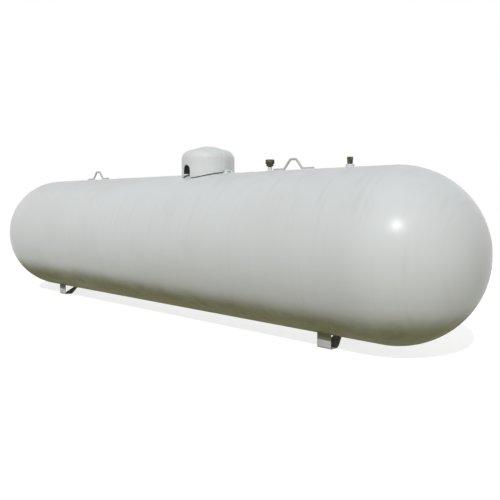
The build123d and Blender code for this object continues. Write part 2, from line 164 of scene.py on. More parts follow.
class Graph:
    """A node tree that is being wired, with short ways to add the nodes that finishes share."""

    def __init__(self, tree: bpy.types.NodeTree) -> None:
        """Start from an empty tree.

        Args:
            tree: The node tree of a material or of the world.
        """
        tree.nodes.clear()
        self.tree = tree
        self.coords: Socket | None = None

    def add(self, kind: str, sockets: dict[str | int, Any], **settings: Any) -> bpy.types.Node:
        """Add one node.

        Args:
            kind: The node's type without its ShaderNode prefix.
            sockets: A value or another node's output for each input.
            **settings: Attributes of the node itself.

        Returns:
            The new node.
        """
        node = self.tree.nodes.new("ShaderNode" + kind)
        for name, value in settings.items():
            setattr(node, name, value)
        for key, value in sockets.items():
            if isinstance(value, Socket):
                self.tree.links.new(value, node.inputs[key])
            else:
                node.inputs[key].default_value = value
        return node

    def place(self) -> Socket:
        """Read the object coordinates.

        Returns:
            The output of one node that the whole tree shares.
        """
        if self.coords is None:
            self.coords = self.add("TexCoord", {}).outputs["Object"]
        return self.coords

    def mapped(self, **sockets: Any) -> Socket:
        """The object coordinates, turned or packed by a Mapping node's sockets."""
        return self.add("Mapping", {"Vector": self.place(), **sockets}).outputs["Vector"]

    def height(self, tilt: float = 0.0, lean: float = 0.0) -> Socket:
        """Read the height over the floor, or over a plane that isn't level.

        Args:
            tilt: How far the plane rises to the left, in radians.
            lean: How far it rises to the back, in radians.

        Returns:
            The height.
        """
        where = self.mapped(Rotation=(-lean, -tilt, 0.0))
        return self.add("SeparateXYZ", {"Vector": where}).outputs["Z"]

    def facing_up(self) -> Socket:
        """How far the surface faces up, as the object stands at rest, from -1 to 1."""
        normal = self.add("TexCoord", {}).outputs["Normal"]
        return self.add("SeparateXYZ", {"Vector": normal}).outputs["Z"]

    def noise(self, pattern: Pattern) -> Socket:
        """Lay a noise pattern on the object coordinates.

        Args:
            pattern: The pattern's sizes.

        Returns:
            The noise's grey output.
        """
        where = self.mapped(Scale=pattern.packing)
        sockets = {"Vector": where, "Scale": pattern.cells, "Detail": pattern.layers}
        return self.add("TexNoise", sockets).outputs["Fac"]

    def ramp(self, value: Socket, reading: Span, result: Span = WHOLE) -> Socket:
        """Turn a reading into a share by a clamped ramp with smooth ends.

        Args:
            value: The socket to read.
            reading: The readings at the ramp's two ends.
            result: What the ramp gives there.

        Returns:
            The ramp's output.
        """
        sockets = {"Value": value, "From Min": reading[0], "From Max": reading[1], "To Min": result[0],
                   "To Max": result[1]}
        return self.add("MapRange", sockets, interpolation_type="SMOOTHSTEP").outputs["Result"]

    def times(self, first: Reading, second: Reading) -> Socket:
        """The product of two values."""
        return self.add("Math", {0: first, 1: second}, operation="MULTIPLY").outputs["Value"]

    def larger(self, first: Reading, second: Reading) -> Socket:
        """The larger of two values."""
        return self.add("Math", {0: first, 1: second}, operation="MAXIMUM").outputs["Value"]

    def between(self, share: Reading, first: Reading, second: Reading) -> Socket:
        """A value that goes from the first to the second by a share."""
        sockets = {MIX_SHARE: share, MIX_VALUES[0]: first, MIX_VALUES[1]: second}
        return self.add("Mix", sockets, data_type="FLOAT").outputs[MIX_VALUE_OUT]

    def blend(self, share: Reading, first: Tone, second: Tone) -> Socket:
        """Mix two colours.

        Args:
            share: How much of the second colour shows.
            first: A colour or a colour output.
            second: A colour or a colour output.

        Returns:
            The mixed colour.
        """
        sockets: dict[str | int, Any] = {MIX_SHARE: share}
        for key, tone in zip(MIX_COLOURS, (first, second)):
            sockets[key] = tone if isinstance(tone, Socket) else opaque(tone)
        return self.add("Mix", sockets, data_type="RGBA").outputs[MIX_COLOUR_OUT]

    def bump(self, height: Socket, depth: float, below: Socket | None = None) -> Socket:
        """Raise the surface by a pattern.

        Args:
            height: The pattern.
            depth: The height of its full range.
            below: An earlier bump's normal that this one adds to.

        Returns:
            The raised normal.
        """
        sockets = {"Height": height, "Distance": depth}
        if below is not None:
            sockets["Normal"] = below
        return self.add("Bump", sockets).outputs["Normal"]

    def surface(self, sockets: dict[str | int, Any]) -> None:
        """End a material's tree in one principled shader.

        Args:
            sockets: A value or an output for each of the shader's inputs.
        """
        shader = self.add("BsdfPrincipled", sockets)
        self.add("OutputMaterial", {"Surface": shader.outputs["BSDF"]})

    def seen_background(self) -> Socket:
        """Tell the rays that show a background from those that light the object.

        Returns:
            One where a camera, gloss or glass ray arrives, and nought where diffuse light does.
        """
        path = self.add("LightPath", {}).outputs
        mirrored = self.larger(path["Is Glossy Ray"], path["Is Transmission Ray"])
        return self.larger(path["Is Camera Ray"], mirrored)


def opaque(colour: Colour) -> tuple[float, float, float, float]:
    """A colour with a full alpha."""
    return (*colour, 1.0)


def new_graph(name: str) -> tuple[bpy.types.Material, Graph]:
    """Make an empty material.

    Args:
        name: The material's name.

    Returns:
        The material and its graph.
    """
    material = bpy.data.materials.new(name)
    material.use_nodes = True
    return material, Graph(material.node_tree)


@dataclass(frozen=True)
class GlossPaint:
    """Sprayed off-white enamel: orange peel, slow colour drift, rain streaks, dust, and an olive underside
    that is grime with painted shade and painted ground reflection.

    A span holds the readings at which an effect begins and is full, or what it gives there. Heights are over
    the floor.
    """

    name: str
    colour: Colour
    faded: Colour
    gloss: float = 0.28
    dull: float = 0.33
    specular: float = 0.17
    drift: Pattern = Pattern(1.3, 4.0)
    drift_fades: Span = (0.36, 0.68)
    drift_dulls: Span = (0.40, 0.75)
    rain: Pattern = Pattern(1.0, 5.0, (30.0, 4.0, 1.6))
    rain_shows: Span = (0.50, 0.78)
    streaked: Colour = (0.52, 0.52, 0.48)
    streak_share: float = 0.14
    specks: Pattern = Pattern(9.0, 6.0)
    settles_on: Span = (0.55, 1.0)
    dust_shows: Span = (0.30, 0.70)
    dust_dulls: Span = (0.10, 0.50)
    dust: Colour = (0.56, 0.54, 0.49)
    dust_share: float = 0.10
    chalky: float = 0.50
    ragged: Pattern = Pattern(3.5, 6.0, (1.0, 1.0, 0.4))
    ragged_shows: Span = (0.30, 0.70)
    ragged_height: Span = (0.975, 1.025)
    # These fields set an olive darkening of the underside and the legs: grime with painted shade, painted
    # ground reflection and the tank's painted shadow on the legs.
    grime_and_shade_heights: Span = (0.415, 0.185)
    grime_and_shade_tilt: float = 0.0134
    grime_and_shade_lean: float = 0.075
    shadow_edge_heights: Span = (0.045, 0.085)
    soil_and_contact_shade_heights: Span = (0.010, 0.004)
    patches: Pattern = Pattern(5.0, 6.0, (0.6, 1.0, 1.0))
    patches_show: Span = (0.20, 0.62)
    patch_share: Span = (0.78, 1.0)
    mottle: Pattern = Pattern(16.0, 8.0)
    mottle_shows: Span = (0.38, 0.66)
    grime_and_shade_olive: Colour = (0.318, 0.320, 0.172)
    crust_and_shade_olive: Colour = (0.270, 0.262, 0.148)
    grime_and_shade_share: float = 0.92
    crusted: float = 0.78
    peel: Pattern = Pattern(420.0, 1.0)
    peel_depth: float = 0.00006
    waves: Pattern = Pattern(2.6, 1.0, (0.7, 1.0, 1.0))
    wave_depth: float = 0.0022

    def make(self) -> bpy.types.Material:
        """Wire the paint.

        Returns:
            The material.
        """
        material, graph = new_graph(self.name)
        drift = graph.noise(self.drift)
        settled = graph.times(graph.ramp(graph.facing_up(), self.settles_on), graph.noise(self.specks))
        grime_and_shade = self.grime_and_shade(graph)
        peel = graph.bump(graph.noise(self.peel), self.peel_depth)
        graph.surface({
            "Base Color": self.tone(graph, drift, settled, grime_and_shade),
            "Roughness": self.sheen(graph, drift, settled, grime_and_shade),
            "Specular IOR Level": self.specular,
            "Normal": graph.bump(graph.noise(self.waves), self.wave_depth, peel),
        })
        return material

    def grime_and_shade(self, graph: Graph) -> Socket:
        """Find where the enamel is darkened: grime with painted shade and painted ground reflection under the
        belly in patches, rising toward the back; the tank's painted shadow on the legs' upper part; soil with
        painted contact shade along the floor; nothing in a band just over the floor.

        Args:
            graph: The paint's graph.

        Returns:
            How thick the grime and painted shade are, from nought to one.
        """
        ragged = graph.ramp(graph.noise(self.ragged), self.ragged_shows, self.ragged_height)
        # The level leans, so the darkening climbs higher toward the back: painted shade and painted ground
        # reflection there.
        edge = graph.times(graph.height(self.grime_and_shade_tilt, self.grime_and_shade_lean), ragged)
        # Over this band the mask paints the tank's cast shadow on the legs; under it the legs stay lit.
        above_shadow_edge = graph.ramp(graph.height(), self.shadow_edge_heights)
        low = graph.times(graph.ramp(edge, self.grime_and_shade_heights), above_shadow_edge)
        # Soil with painted contact shade at the legs' feet.
        low = graph.larger(low, graph.ramp(graph.height(), self.soil_and_contact_shade_heights))
        return graph.times(low, graph.ramp(graph.noise(self.patches), self.patches_show, self.patch_share))

    def tone(self, graph: Graph, drift: Socket, settled: Socket, grime_and_shade: Socket) -> Socket:
        """Mix the paint's colour.

        Args:
            graph: The paint's graph.
            drift: The slow drift.
            settled: Where dust has settled.
            grime_and_shade: Where grime and painted shade lie.

        Returns:
            The colour.
        """
        base = graph.blend(graph.ramp(drift, self.drift_fades), self.colour, self.faded)
        rain = graph.ramp(graph.noise(self.rain), self.rain_shows, (0.0, self.streak_share))
        base = graph.blend(rain, base, self.streaked)
        dusty = graph.ramp(settled, self.dust_shows, (0.0, self.dust_share))
        base = graph.blend(dusty, base, self.dust)
        # The olive mottle is grime and also painted shade with painted reflection of olive ground.
        mottled = graph.blend(graph.ramp(graph.noise(self.mottle), self.mottle_shows), self.grime_and_shade_olive, self.crust_and_shade_olive)
        return graph.blend(graph.ramp(grime_and_shade, WHOLE, (0.0, self.grime_and_shade_share)), base, mottled)

    def sheen(self, graph: Graph, drift: Socket, settled: Socket, grime_and_shade: Socket) -> Socket:
        """Mix the paint's roughness.

        Args:
            graph: The paint's graph.
            drift: The slow drift.
            settled: Where dust has settled.
            grime_and_shade: Where grime and painted shade lie.

        Returns:
            The roughness.
        """
        worn = graph.ramp(drift, self.drift_dulls, (self.gloss, self.dull))
        rough = graph.between(graph.ramp(settled, self.dust_dulls), worn, self.chalky)
        return graph.between(grime_and_shade, rough, self.crusted)


@dataclass(frozen=True)
class AgedMetal:
    """Bare metal gone dull: tarnish in patches, a patina over them and a fine cast or turned grain."""

    name: str
    colour: Colour
    tarnish: Colour
    patina: Colour
    metallic: float = 0.85
    gloss: float = 0.36
    dull: float = 0.62
    blotches: Pattern = Pattern(55.0, 5.0)
    tarnish_shows: Span = (0.36, 0.62)
    blotch_dulls: Span = (0.30, 0.70)
    clouds: Pattern = Pattern(28.0, 6.0)
    patina_shows: Span = (0.54, 0.74)
    patina_share: float = 0.7
    grain: Pattern = Pattern(900.0, 3.0)
    grain_depth: float = 0.00012

    def make(self) -> bpy.types.Material:
        """Wire the metal.

        Returns:
            The material.
        """
        material, graph = new_graph(self.name)
        blotch = graph.noise(self.blotches)
        base = graph.blend(graph.ramp(blotch, self.tarnish_shows), self.colour, self.tarnish)
        patina = graph.ramp(graph.noise(self.clouds), self.patina_shows, (0.0, self.patina_share))
        graph.surface({
            "Base Color": graph.blend(patina, base, self.patina),
            "Metallic": self.metallic,
            "Roughness": graph.ramp(blotch, self.blotch_dulls, (self.gloss, self.dull)),
            "Normal": graph.bump(graph.noise(self.grain), self.grain_depth),
        })
        return material


@dataclass(frozen=True)
class MouldedPlastic:
    """Moulded plastic: faint sun-bleaching, a satin skin and a fine leathery texture."""

    name: str
    colour: Colour
    bleached: Colour
    gloss: float = 0.36
    dull: float = 0.58
    clouds: Pattern = Pattern(24.0, 4.0)
    cloud_bleaches: Span = (0.38, 0.72)
    cloud_dulls: Span = (0.30, 0.70)
    grain: Pattern = Pattern(1400.0, 2.0)
    grain_depth: float = 0.00008

    def make(self) -> bpy.types.Material:
        """Wire the plastic.

        Returns:
            The material.
        """
        material, graph = new_graph(self.name)
        cloud = graph.noise(self.clouds)
        graph.surface({
            "Base Color": graph.blend(graph.ramp(cloud, self.cloud_bleaches), self.colour, self.bleached),
            "Roughness": graph.ramp(cloud, self.cloud_dulls, (self.gloss, self.dull)),
            "Normal": graph.bump(graph.noise(self.grain), self.grain_depth),
        })
        return material


@dataclass(frozen=True)
class ClearLens:
    """A clear moulded lens with faint haze in patches."""

    name: str
    colour: Colour = (0.96, 0.97, 0.96)
    index: float = 1.46
    haze: Pattern = Pattern(60.0, 4.0)
    haze_shows: Span = (0.40, 0.75)
    haze_roughness: Span = (0.02, 0.16)

    def make(self) -> bpy.types.Material:
        """Wire the lens.

        Returns:
            The material.
        """
        material, graph = new_graph(self.name)
        graph.surface({
            "Base Color": opaque(self.colour),
            "Roughness": graph.ramp(graph.noise(self.haze), self.haze_shows, self.haze_roughness),
            "Transmission Weight": 1.0,
            "IOR": self.index,
        })
        return material


def bearing(spot: Vector) -> float:
    """The direction of a spot from the upright axis, in radians."""
    return math.atan2(spot.y, spot.x)


def swell(count: int, angle: float) -> float:
    """A wave that rises from nought to one a number of times round the axis."""
    return 0.5 + 0.5 * math.cos(count * angle)


def tidy(mesh: BMesh) -> BMesh:
    """Merge doubles, drop slivers and turn the faces outward.

    Args:
        mesh: The mesh to clean.

    Returns:
        The same mesh.
    """
    bmesh.ops.remove_doubles(mesh, verts=mesh.verts[:], dist=MERGE)
    bmesh.ops.dissolve_degenerate(mesh, edges=mesh.edges[:], dist=MERGE)
    bmesh.ops.recalc_face_normals(mesh, faces=mesh.faces[:])
    return mesh


def round_edges(mesh: BMesh, edges: list[BMEdge], width: float, segments: int = 2) -> BMesh:
    """Round some edges.

    Args:
        mesh: A closed mesh.
        edges: Its edges to round.
        width: How far the rounding reaches from an edge.
        segments: Faces across the rounding.

    Returns:
        The same mesh.
    """
    bmesh.ops.bevel(mesh, geom=edges, offset=width, segments=segments, profile=0.5, affect="EDGES",
                    clamp_overlap=True, material=-1)
    return mesh


def soften(mesh: BMesh, width: float, over: float = 40.0) -> BMesh:
    """Round the sharp edges.

    Args:
        mesh: A closed mesh.
        width: How far the rounding reaches from an edge.
        over: The turn, in degrees, from which an edge counts as sharp.

    Returns:
        The same mesh.
    """
    limit = math.radians(over)
    sharp = [edge for edge in mesh.edges if edge.is_manifold and edge.calc_face_angle() > limit]
    return round_edges(mesh, sharp, width)


def shift(mesh: BMesh, x: float = 0.0, y: float = 0.0, z: float = 0.0) -> BMesh:
    """Move a whole mesh."""
    bmesh.ops.translate(mesh, verts=mesh.verts[:], vec=Vector((x, y, z)))
    return mesh


def turn(mesh: BMesh, degrees: float, axis: Vector) -> BMesh:
    """Turn a whole mesh about an axis through the origin.

    Args:
        mesh: The mesh to turn.
        degrees: How far it turns.
        axis: The axis.

    Returns:
        The same mesh.
    """
    about = Matrix.Rotation(math.radians(degrees), 3, axis)
    bmesh.ops.rotate(mesh, verts=mesh.verts[:], cent=Vector(), matrix=about)
    return mesh


def thicken(mesh: BMesh, offset: Vector) -> BMesh:
    """Carry a flat mesh along, so that it becomes a closed plate.

    Args:
        mesh: The flat mesh.
        offset: How far and which way its other face lies.

    Returns:
        The same mesh.
    """
    grown = bmesh.ops.extrude_face_region(mesh, geom=mesh.faces[:])["geom"]
    bmesh.ops.translate(mesh, verts=[item for item in grown if isinstance(item, BMVert)], vec=offset)
    return tidy(mesh)


def draw_in(mesh: BMesh, beyond: float, kept: Callable[[float], float]) -> BMesh:
    """Draw the outside of a turned mesh in toward the upright axis.

    Args:
        mesh: The turned mesh.
        beyond: The radius from which it is drawn in.
        kept: Gives the share of the radius that stays, by the bearing.

    Returns:
        The same mesh.
    """
    for vert in mesh.verts:
        if vert.co.xy.length > beyond:
            share = kept(bearing(vert.co))
            vert.co.x *= share
            vert.co.y *= share
    return mesh


def ripple(mesh: BMesh, pitch: float, amount: float) -> BMesh:
    """Make a bead uneven, as a hand-laid weld is.

    Args:
        mesh: The bead.
        pitch: The length of one lump.
        amount: How far the lumps stand in or out.

    Returns:
        The same mesh.
    """
    mesh.normal_update()
    moves = [(vert, vert.normal * amount * noise.noise(vert.co / pitch)) for vert in mesh.verts]
    for vert, move in moves:
        vert.co += move
    return mesh


def join(*meshes: BMesh) -> BMesh:
    """Put several meshes into the first one.

    Args:
        *meshes: The meshes. All but the first are used up.

    Returns:
        The first mesh.
    """
    whole = meshes[0]
    for part in meshes[1:]:
        carrier = bpy.data.meshes.new("carrier")
        part.to_mesh(carrier)
        part.free()
        whole.from_mesh(carrier)
        bpy.data.meshes.remove(carrier)
    return whole


def arc(middle: Point, radius: float, start: float, finish: float, steps: int) -> list[Point]:
    """Points along an arc of an outline.

    Args:
        middle: The arc's centre.
        radius: The arc's radius.
        start: The first point's angle in degrees.
        finish: The last point's angle in degrees.
        steps: How many spans the arc has.

    Returns:
        The points, both ends included.
    """
    angles = [math.radians(start + (finish - start) * step / steps) for step in range(steps + 1)]
    return [(middle[0] + radius * math.cos(a), middle[1] + radius * math.sin(a)) for a in angles]


def lathe(outline: Sequence[Point], steps: int = ROUND_STEPS, sweep: float = FULL_TURN) -> BMesh:
    """Turn an outline of (radius, height) corners about the upright axis.

    Args:
        outline: The corners. Where the last is the first again, the outline is a closed ring.
        steps: Spans round the axis.
        sweep: How far round the outline is carried, in degrees.

    Returns:
        The turned mesh.
    """
    mesh = bmesh.new()
    closed = outline[0] == outline[-1]
    corners = [mesh.verts.new((across, 0.0, up)) for across, up in (outline[:-1] if closed else outline)]
    edges = [mesh.edges.new(pair) for pair in zip(corners, corners[1:])]
    if closed:
        edges.append(mesh.edges.new((corners[-1], corners[0])))
    full = sweep == FULL_TURN
    bmesh.ops.spin(mesh, geom=corners + edges, cent=Vector(), axis=UP, dvec=Vector(),
                   angle=math.radians(sweep), steps=steps, use_merge=full)
    if not full and closed:
        bmesh.ops.holes_fill(mesh, edges=mesh.edges[:], sides=0)
    return tidy(mesh)


def hoop(reach: float, radius: float, sides: int, steps: int) -> BMesh:
    """A ring of round bar that lies about the upright axis.

    Args:
        reach: The ring's radius at the bar's middle.
        radius: The bar's radius.
        sides: Spans round the bar.
        steps: Spans round the ring.

    Returns:
        The ring.
    """
    section = arc((reach, 0.0), radius, 0.0, FULL_TURN, sides)
    return lathe(section[:-1] + section[:1], steps)


def post(sides: int, radius: float, rise: float) -> BMesh:
    """A prism that stands on z = 0.

    Args:
        sides: How many flats it has.
        radius: From its middle to a corner.
        rise: Its height.

    Returns:
        The prism.
    """
    mesh = bmesh.new()
    bmesh.ops.create_cone(mesh, cap_ends=True, segments=sides, radius1=radius, radius2=radius, depth=rise,
                          matrix=Matrix.Translation((0.0, 0.0, rise / 2)))
    return tidy(mesh)


def cuboid(size: Sequence[float]) -> BMesh:
    """A sharp block about the origin.

    Args:
        size: Its length along each axis.

    Returns:
        The block.
    """
    mesh = bmesh.new()
    bmesh.ops.create_cube(mesh, size=1.0)
    bmesh.ops.scale(mesh, vec=Vector(size), verts=mesh.verts[:])
    return mesh


def block(size: Sequence[float], middle: Sequence[float], edge: float) -> BMesh:
    """A block with edges rounded as far as edge, put at its middle."""
    return shift(soften(cuboid(size), edge), *middle)


def cut_plate(outline: Sequence[Point], thickness: float, edge: float) -> BMesh:
    """A plate cut to an outline in the upright plane along the tank.

    Args:
        outline: The (along, up) corners.
        thickness: The plate's thickness, back from y = 0.
        edge: How far its edges are rounded.

    Returns:
        The plate.
    """
    mesh = bmesh.new()
    mesh.faces.new([mesh.verts.new((along, 0.0, up)) for along, up in outline])
    return soften(thicken(mesh, ACROSS * thickness), edge)


class BentBar:
    """A bar, plate or bead that grows from one closed section by straight runs and bends in one plane."""

    def __init__(self, start: Vector, heading: Vector, hinge: Vector) -> None:
        """Set out the first section's place.

        Args:
            start: The section's middle.
            heading: The way the bar grows.
            hinge: The axis that every bend turns about.
        """
        self.mesh = bmesh.new()
        self.spot = start.copy()
        self.heading = heading.copy()
        self.hinge = hinge.copy()
        self.rim: list[BMEdge] = []

    def inward(self) -> Vector:
        """The direction toward the centre of a positive bend."""
        return self.hinge.cross(self.heading)

    def rounded(self, radius: float, sides: int) -> "BentBar":
        """Start with a round section.

        Args:
            radius: The section's radius.
            sides: Spans round it.

        Returns:
            The bar itself.
        """
        basis = Matrix((self.hinge, self.inward(), self.heading)).transposed().to_4x4()
        bmesh.ops.create_circle(self.mesh, segments=sides, radius=radius,
                                matrix=Matrix.Translation(self.spot) @ basis)
        self.rim = self.mesh.edges[:]
        return self

    def flat(self, width: float, thickness: float) -> "BentBar":
        """Start with a flat section.

        Args:
            width: The section's size along the hinge axis.
            thickness: Its size across that axis.

        Returns:
            The bar itself.
        """
        half_width = self.hinge * width / 2
        half_thickness = self.inward() * thickness / 2
        signs = ((-1, -1), (1, -1), (1, 1), (-1, 1))
        verts = [self.mesh.verts.new(self.spot + half_width * u + half_thickness * v) for u, v in signs]
        self.rim = [self.mesh.edges.new(pair) for pair in zip(verts, verts[1:] + verts[:1])]
        return self

    def run(self, length: float, pieces: int = 1, narrow: float = 1.0) -> "BentBar":
        """Grow straight on.

        Args:
            length: How far.
            pieces: Spans along the run.
            narrow: The width at its end as a share of the width at its start.

        Returns:
            The bar itself.
        """
        step = self.heading * (length / pieces)
        for _ in range(pieces):
            grown = bmesh.ops.extrude_edge_only(self.mesh, edges=self.rim)["geom"]
            verts = [item for item in grown if isinstance(item, BMVert)]
            bmesh.ops.translate(self.mesh, verts=verts, vec=step)
            self.spot += step
            fresh = set(verts)
            self.rim = [item for item in grown if isinstance(item, BMEdge) and fresh.issuperset(item.verts)]
        if narrow != 1.0:
            bmesh.ops.scale(self.mesh, vec=Vector((narrow, 1.0, 1.0)), verts=verts,
                            space=Matrix.Translation(-self.spot))
        return self

    def bend(self, degrees: float, radius: float, steps: int = 8) -> "BentBar":
        """Grow round a bend.

        Args:
            degrees: How far the bar turns about its hinge axis.
            radius: The bend's radius at the bar's middle.
            steps: Spans round the bend.

        Returns:
            The bar itself.
        """
        angle = math.radians(degrees)
        centre = self.spot + self.inward() * math.copysign(radius, angle)
        # A dict holds each vert once and keeps their order the same in every run.
        ends = dict.fromkeys(vert for edge in self.rim for vert in edge.verts)
        grown = bmesh.ops.spin(self.mesh, geom=[*ends, *self.rim], cent=centre, axis=self.hinge,
                               dvec=Vector(), angle=angle, steps=steps, use_merge=False)
        self.rim = [item for item in grown["geom_last"] if isinstance(item, BMEdge)]
        about = Matrix.Rotation(angle, 3, self.hinge)
        self.spot = centre + about @ (self.spot - centre)
        self.heading = about @ self.heading
        return self

    def finish(self) -> BMesh:
        """Close the open ends, or join them where they meet.

        Returns:
            The bar's mesh.
        """
        bmesh.ops.remove_doubles(self.mesh, verts=self.mesh.verts[:], dist=MERGE)
        bmesh.ops.holes_fill(self.mesh, edges=self.mesh.edges[:], sides=0)
        return tidy(self.mesh)


@dataclass(frozen=True)
class NodeBox:
    """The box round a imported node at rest."""

    low: Vector
    high: Vector

    @classmethod
    def of(cls, node: str) -> "NodeBox":
        """Read a node's box."""
        return cls(*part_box(node))

    @property
    def x(self) -> float:
        """Its middle along the tank."""
        return (self.low.x + self.high.x) / 2

    @property
    def y(self) -> float:
        """Its middle across the tank."""
        return (self.low.y + self.high.y) / 2

    @property
    def z(self) -> float:
        """Its middle's height."""
        return (self.low.z + self.high.z) / 2

    @property
    def length(self) -> float:
        """Its size along the tank."""
        return self.high.x - self.low.x

    @property
    def depth(self) -> float:
        """Its size across the tank."""
        return self.high.y - self.low.y

    @property
    def rise(self) -> float:
        """Its size upward."""
        return self.high.z - self.low.z

    @property
    def radius(self) -> float:
        """Half its larger size in plan."""
        return max(self.length, self.depth) / 2


@dataclass(frozen=True)
class TankShape:
    """The tank's round outside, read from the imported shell."""

    radius: float
    axis_z: float

    @classmethod
    def from_frame(cls) -> "TankShape":
        """Read the shell's box."""
        box = NodeBox.of("shell")
        return cls(box.depth / 2, box.z)

    def level(self, y: float, side: Side, extra: float = 0.0) -> float:
        """The height of the tank's surface.

        Args:
            y: The place across the tank.
            side: The upper or the lower surface.
            extra: How far outside the tank the height is taken.

        Returns:
            The height over the floor.
        """
        return self.axis_z + side.value * math.sqrt((self.radius + extra) ** 2 - y ** 2)

    def crown(self) -> float:
        """The height of the crown's top line."""
        return self.level(0.0, Side.CROWN)

    def drape(self, mesh: BMesh, side: Side = Side.CROWN) -> BMesh:
        """Lay a flat mesh, made about z = 0, on the tank's curve.

        Args:
            mesh: The mesh to lay.
            side: The surface that it lies on.

        Returns:
            The same mesh.
        """
        for vert in mesh.verts:
            vert.co.z += self.level(vert.co.y, side)
        return mesh


@dataclass(frozen=True)
class Welder:
    """Lays weld beads along the feet of pieces that stand on the tank."""

    tank: TankShape
    bead: float = 0.0042
    sides: int = 10
    span: float = 0.0035
    corner: float = 0.0024
    corner_spans: int = 3
    lump: float = 0.0045
    unevenness: float = 0.0011

    def ring(self, x: float, y: float, radius: float) -> BMesh:
        """A bead round an upright pipe.

        Args:
            x: The pipe's place along the tank.
            y: The pipe's place across the tank.
            radius: The pipe's outside radius.

        Returns:
            The bead.
        """
        steps = round(math.tau * radius / self.span)
        mesh = ripple(hoop(radius, self.bead, self.sides, steps), self.lump, self.unevenness)
        return self.tank.drape(shift(mesh, x, y))

    def loop(self, x: float, y: float, length: float, depth: float, side: Side = Side.CROWN) -> BMesh:
        """A bead round a foot with square corners.

        Args:
            x: The foot's middle along the tank.
            y: The foot's middle across the tank.
            length: The foot's size along the tank.
            depth: The foot's size across the tank.
            side: The surface that the foot stands on.

        Returns:
            The bead.
        """
        long_run = length - 2 * self.corner
        short_run = depth - 2 * self.corner
        bead = BentBar(Vector((-long_run / 2, -depth / 2, 0.0)), ALONG, UP).rounded(self.bead, self.sides)
        for distance in (long_run, short_run, long_run, short_run):
            bead.run(distance, max(1, round(distance / self.span)))
            bead.bend(QUARTER_TURN, self.corner, self.corner_spans)
        mesh = ripple(bead.finish(), self.lump, self.unevenness)
        return self.tank.drape(shift(mesh, x, y), side)


class Workshop:
    """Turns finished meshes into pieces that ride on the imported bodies."""

    def __init__(self, finishes: dict[Finish, bpy.types.Material]) -> None:
        """Keep the finishes.

        Args:
            finishes: The material of each finish.
        """
        self.finishes = finishes

    def piece(self, name: str, mesh: BMesh, finish: Finish, body: Body = Body.TANK,
              stands_for: Sequence[str] = ()) -> None:
        """Put a mesh into the scene.

        Args:
            name: The piece's name.
            mesh: Its mesh, which is used up.
            finish: Its finish.
            body: The body that it rides on.
            stands_for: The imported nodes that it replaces.
        """
        data = bpy.data.meshes.new(name)
        mesh.to_mesh(data)
        mesh.free()
        data.shade_smooth()
        data.set_sharp_from_angle(angle=math.radians(CREASE))
        data.materials.append(self.finishes[finish])
        made = bpy.data.objects.new(name, data)
        bpy.context.scene.collection.objects.link(made)
        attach(made, body.value)
        if stands_for:
            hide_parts(*stands_for)
        LOG.info("%s: %d faces in %s", name, len(data.polygons), finish.value)

    def dress(self, node: str, finish: Finish) -> None:
        """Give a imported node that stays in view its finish.

        Args:
            node: The node's name.
            finish: Its finish.
        """
        data = frame["nodes"][node].data
        data.materials.clear()
        data.materials.append(self.finishes[finish])
        LOG.info("%s: packed node in %s", node, finish.value)


@dataclass
class TankBody:
    """The rolled shell and its two ball ends, kept as packed."""

    shop: Workshop

    def build(self) -> None:
        """Dress the shell and the heads."""
        for node in ("shell", "left_head", "right_head"):
            self.shop.dress(node, Finish.TANK_PAINT)


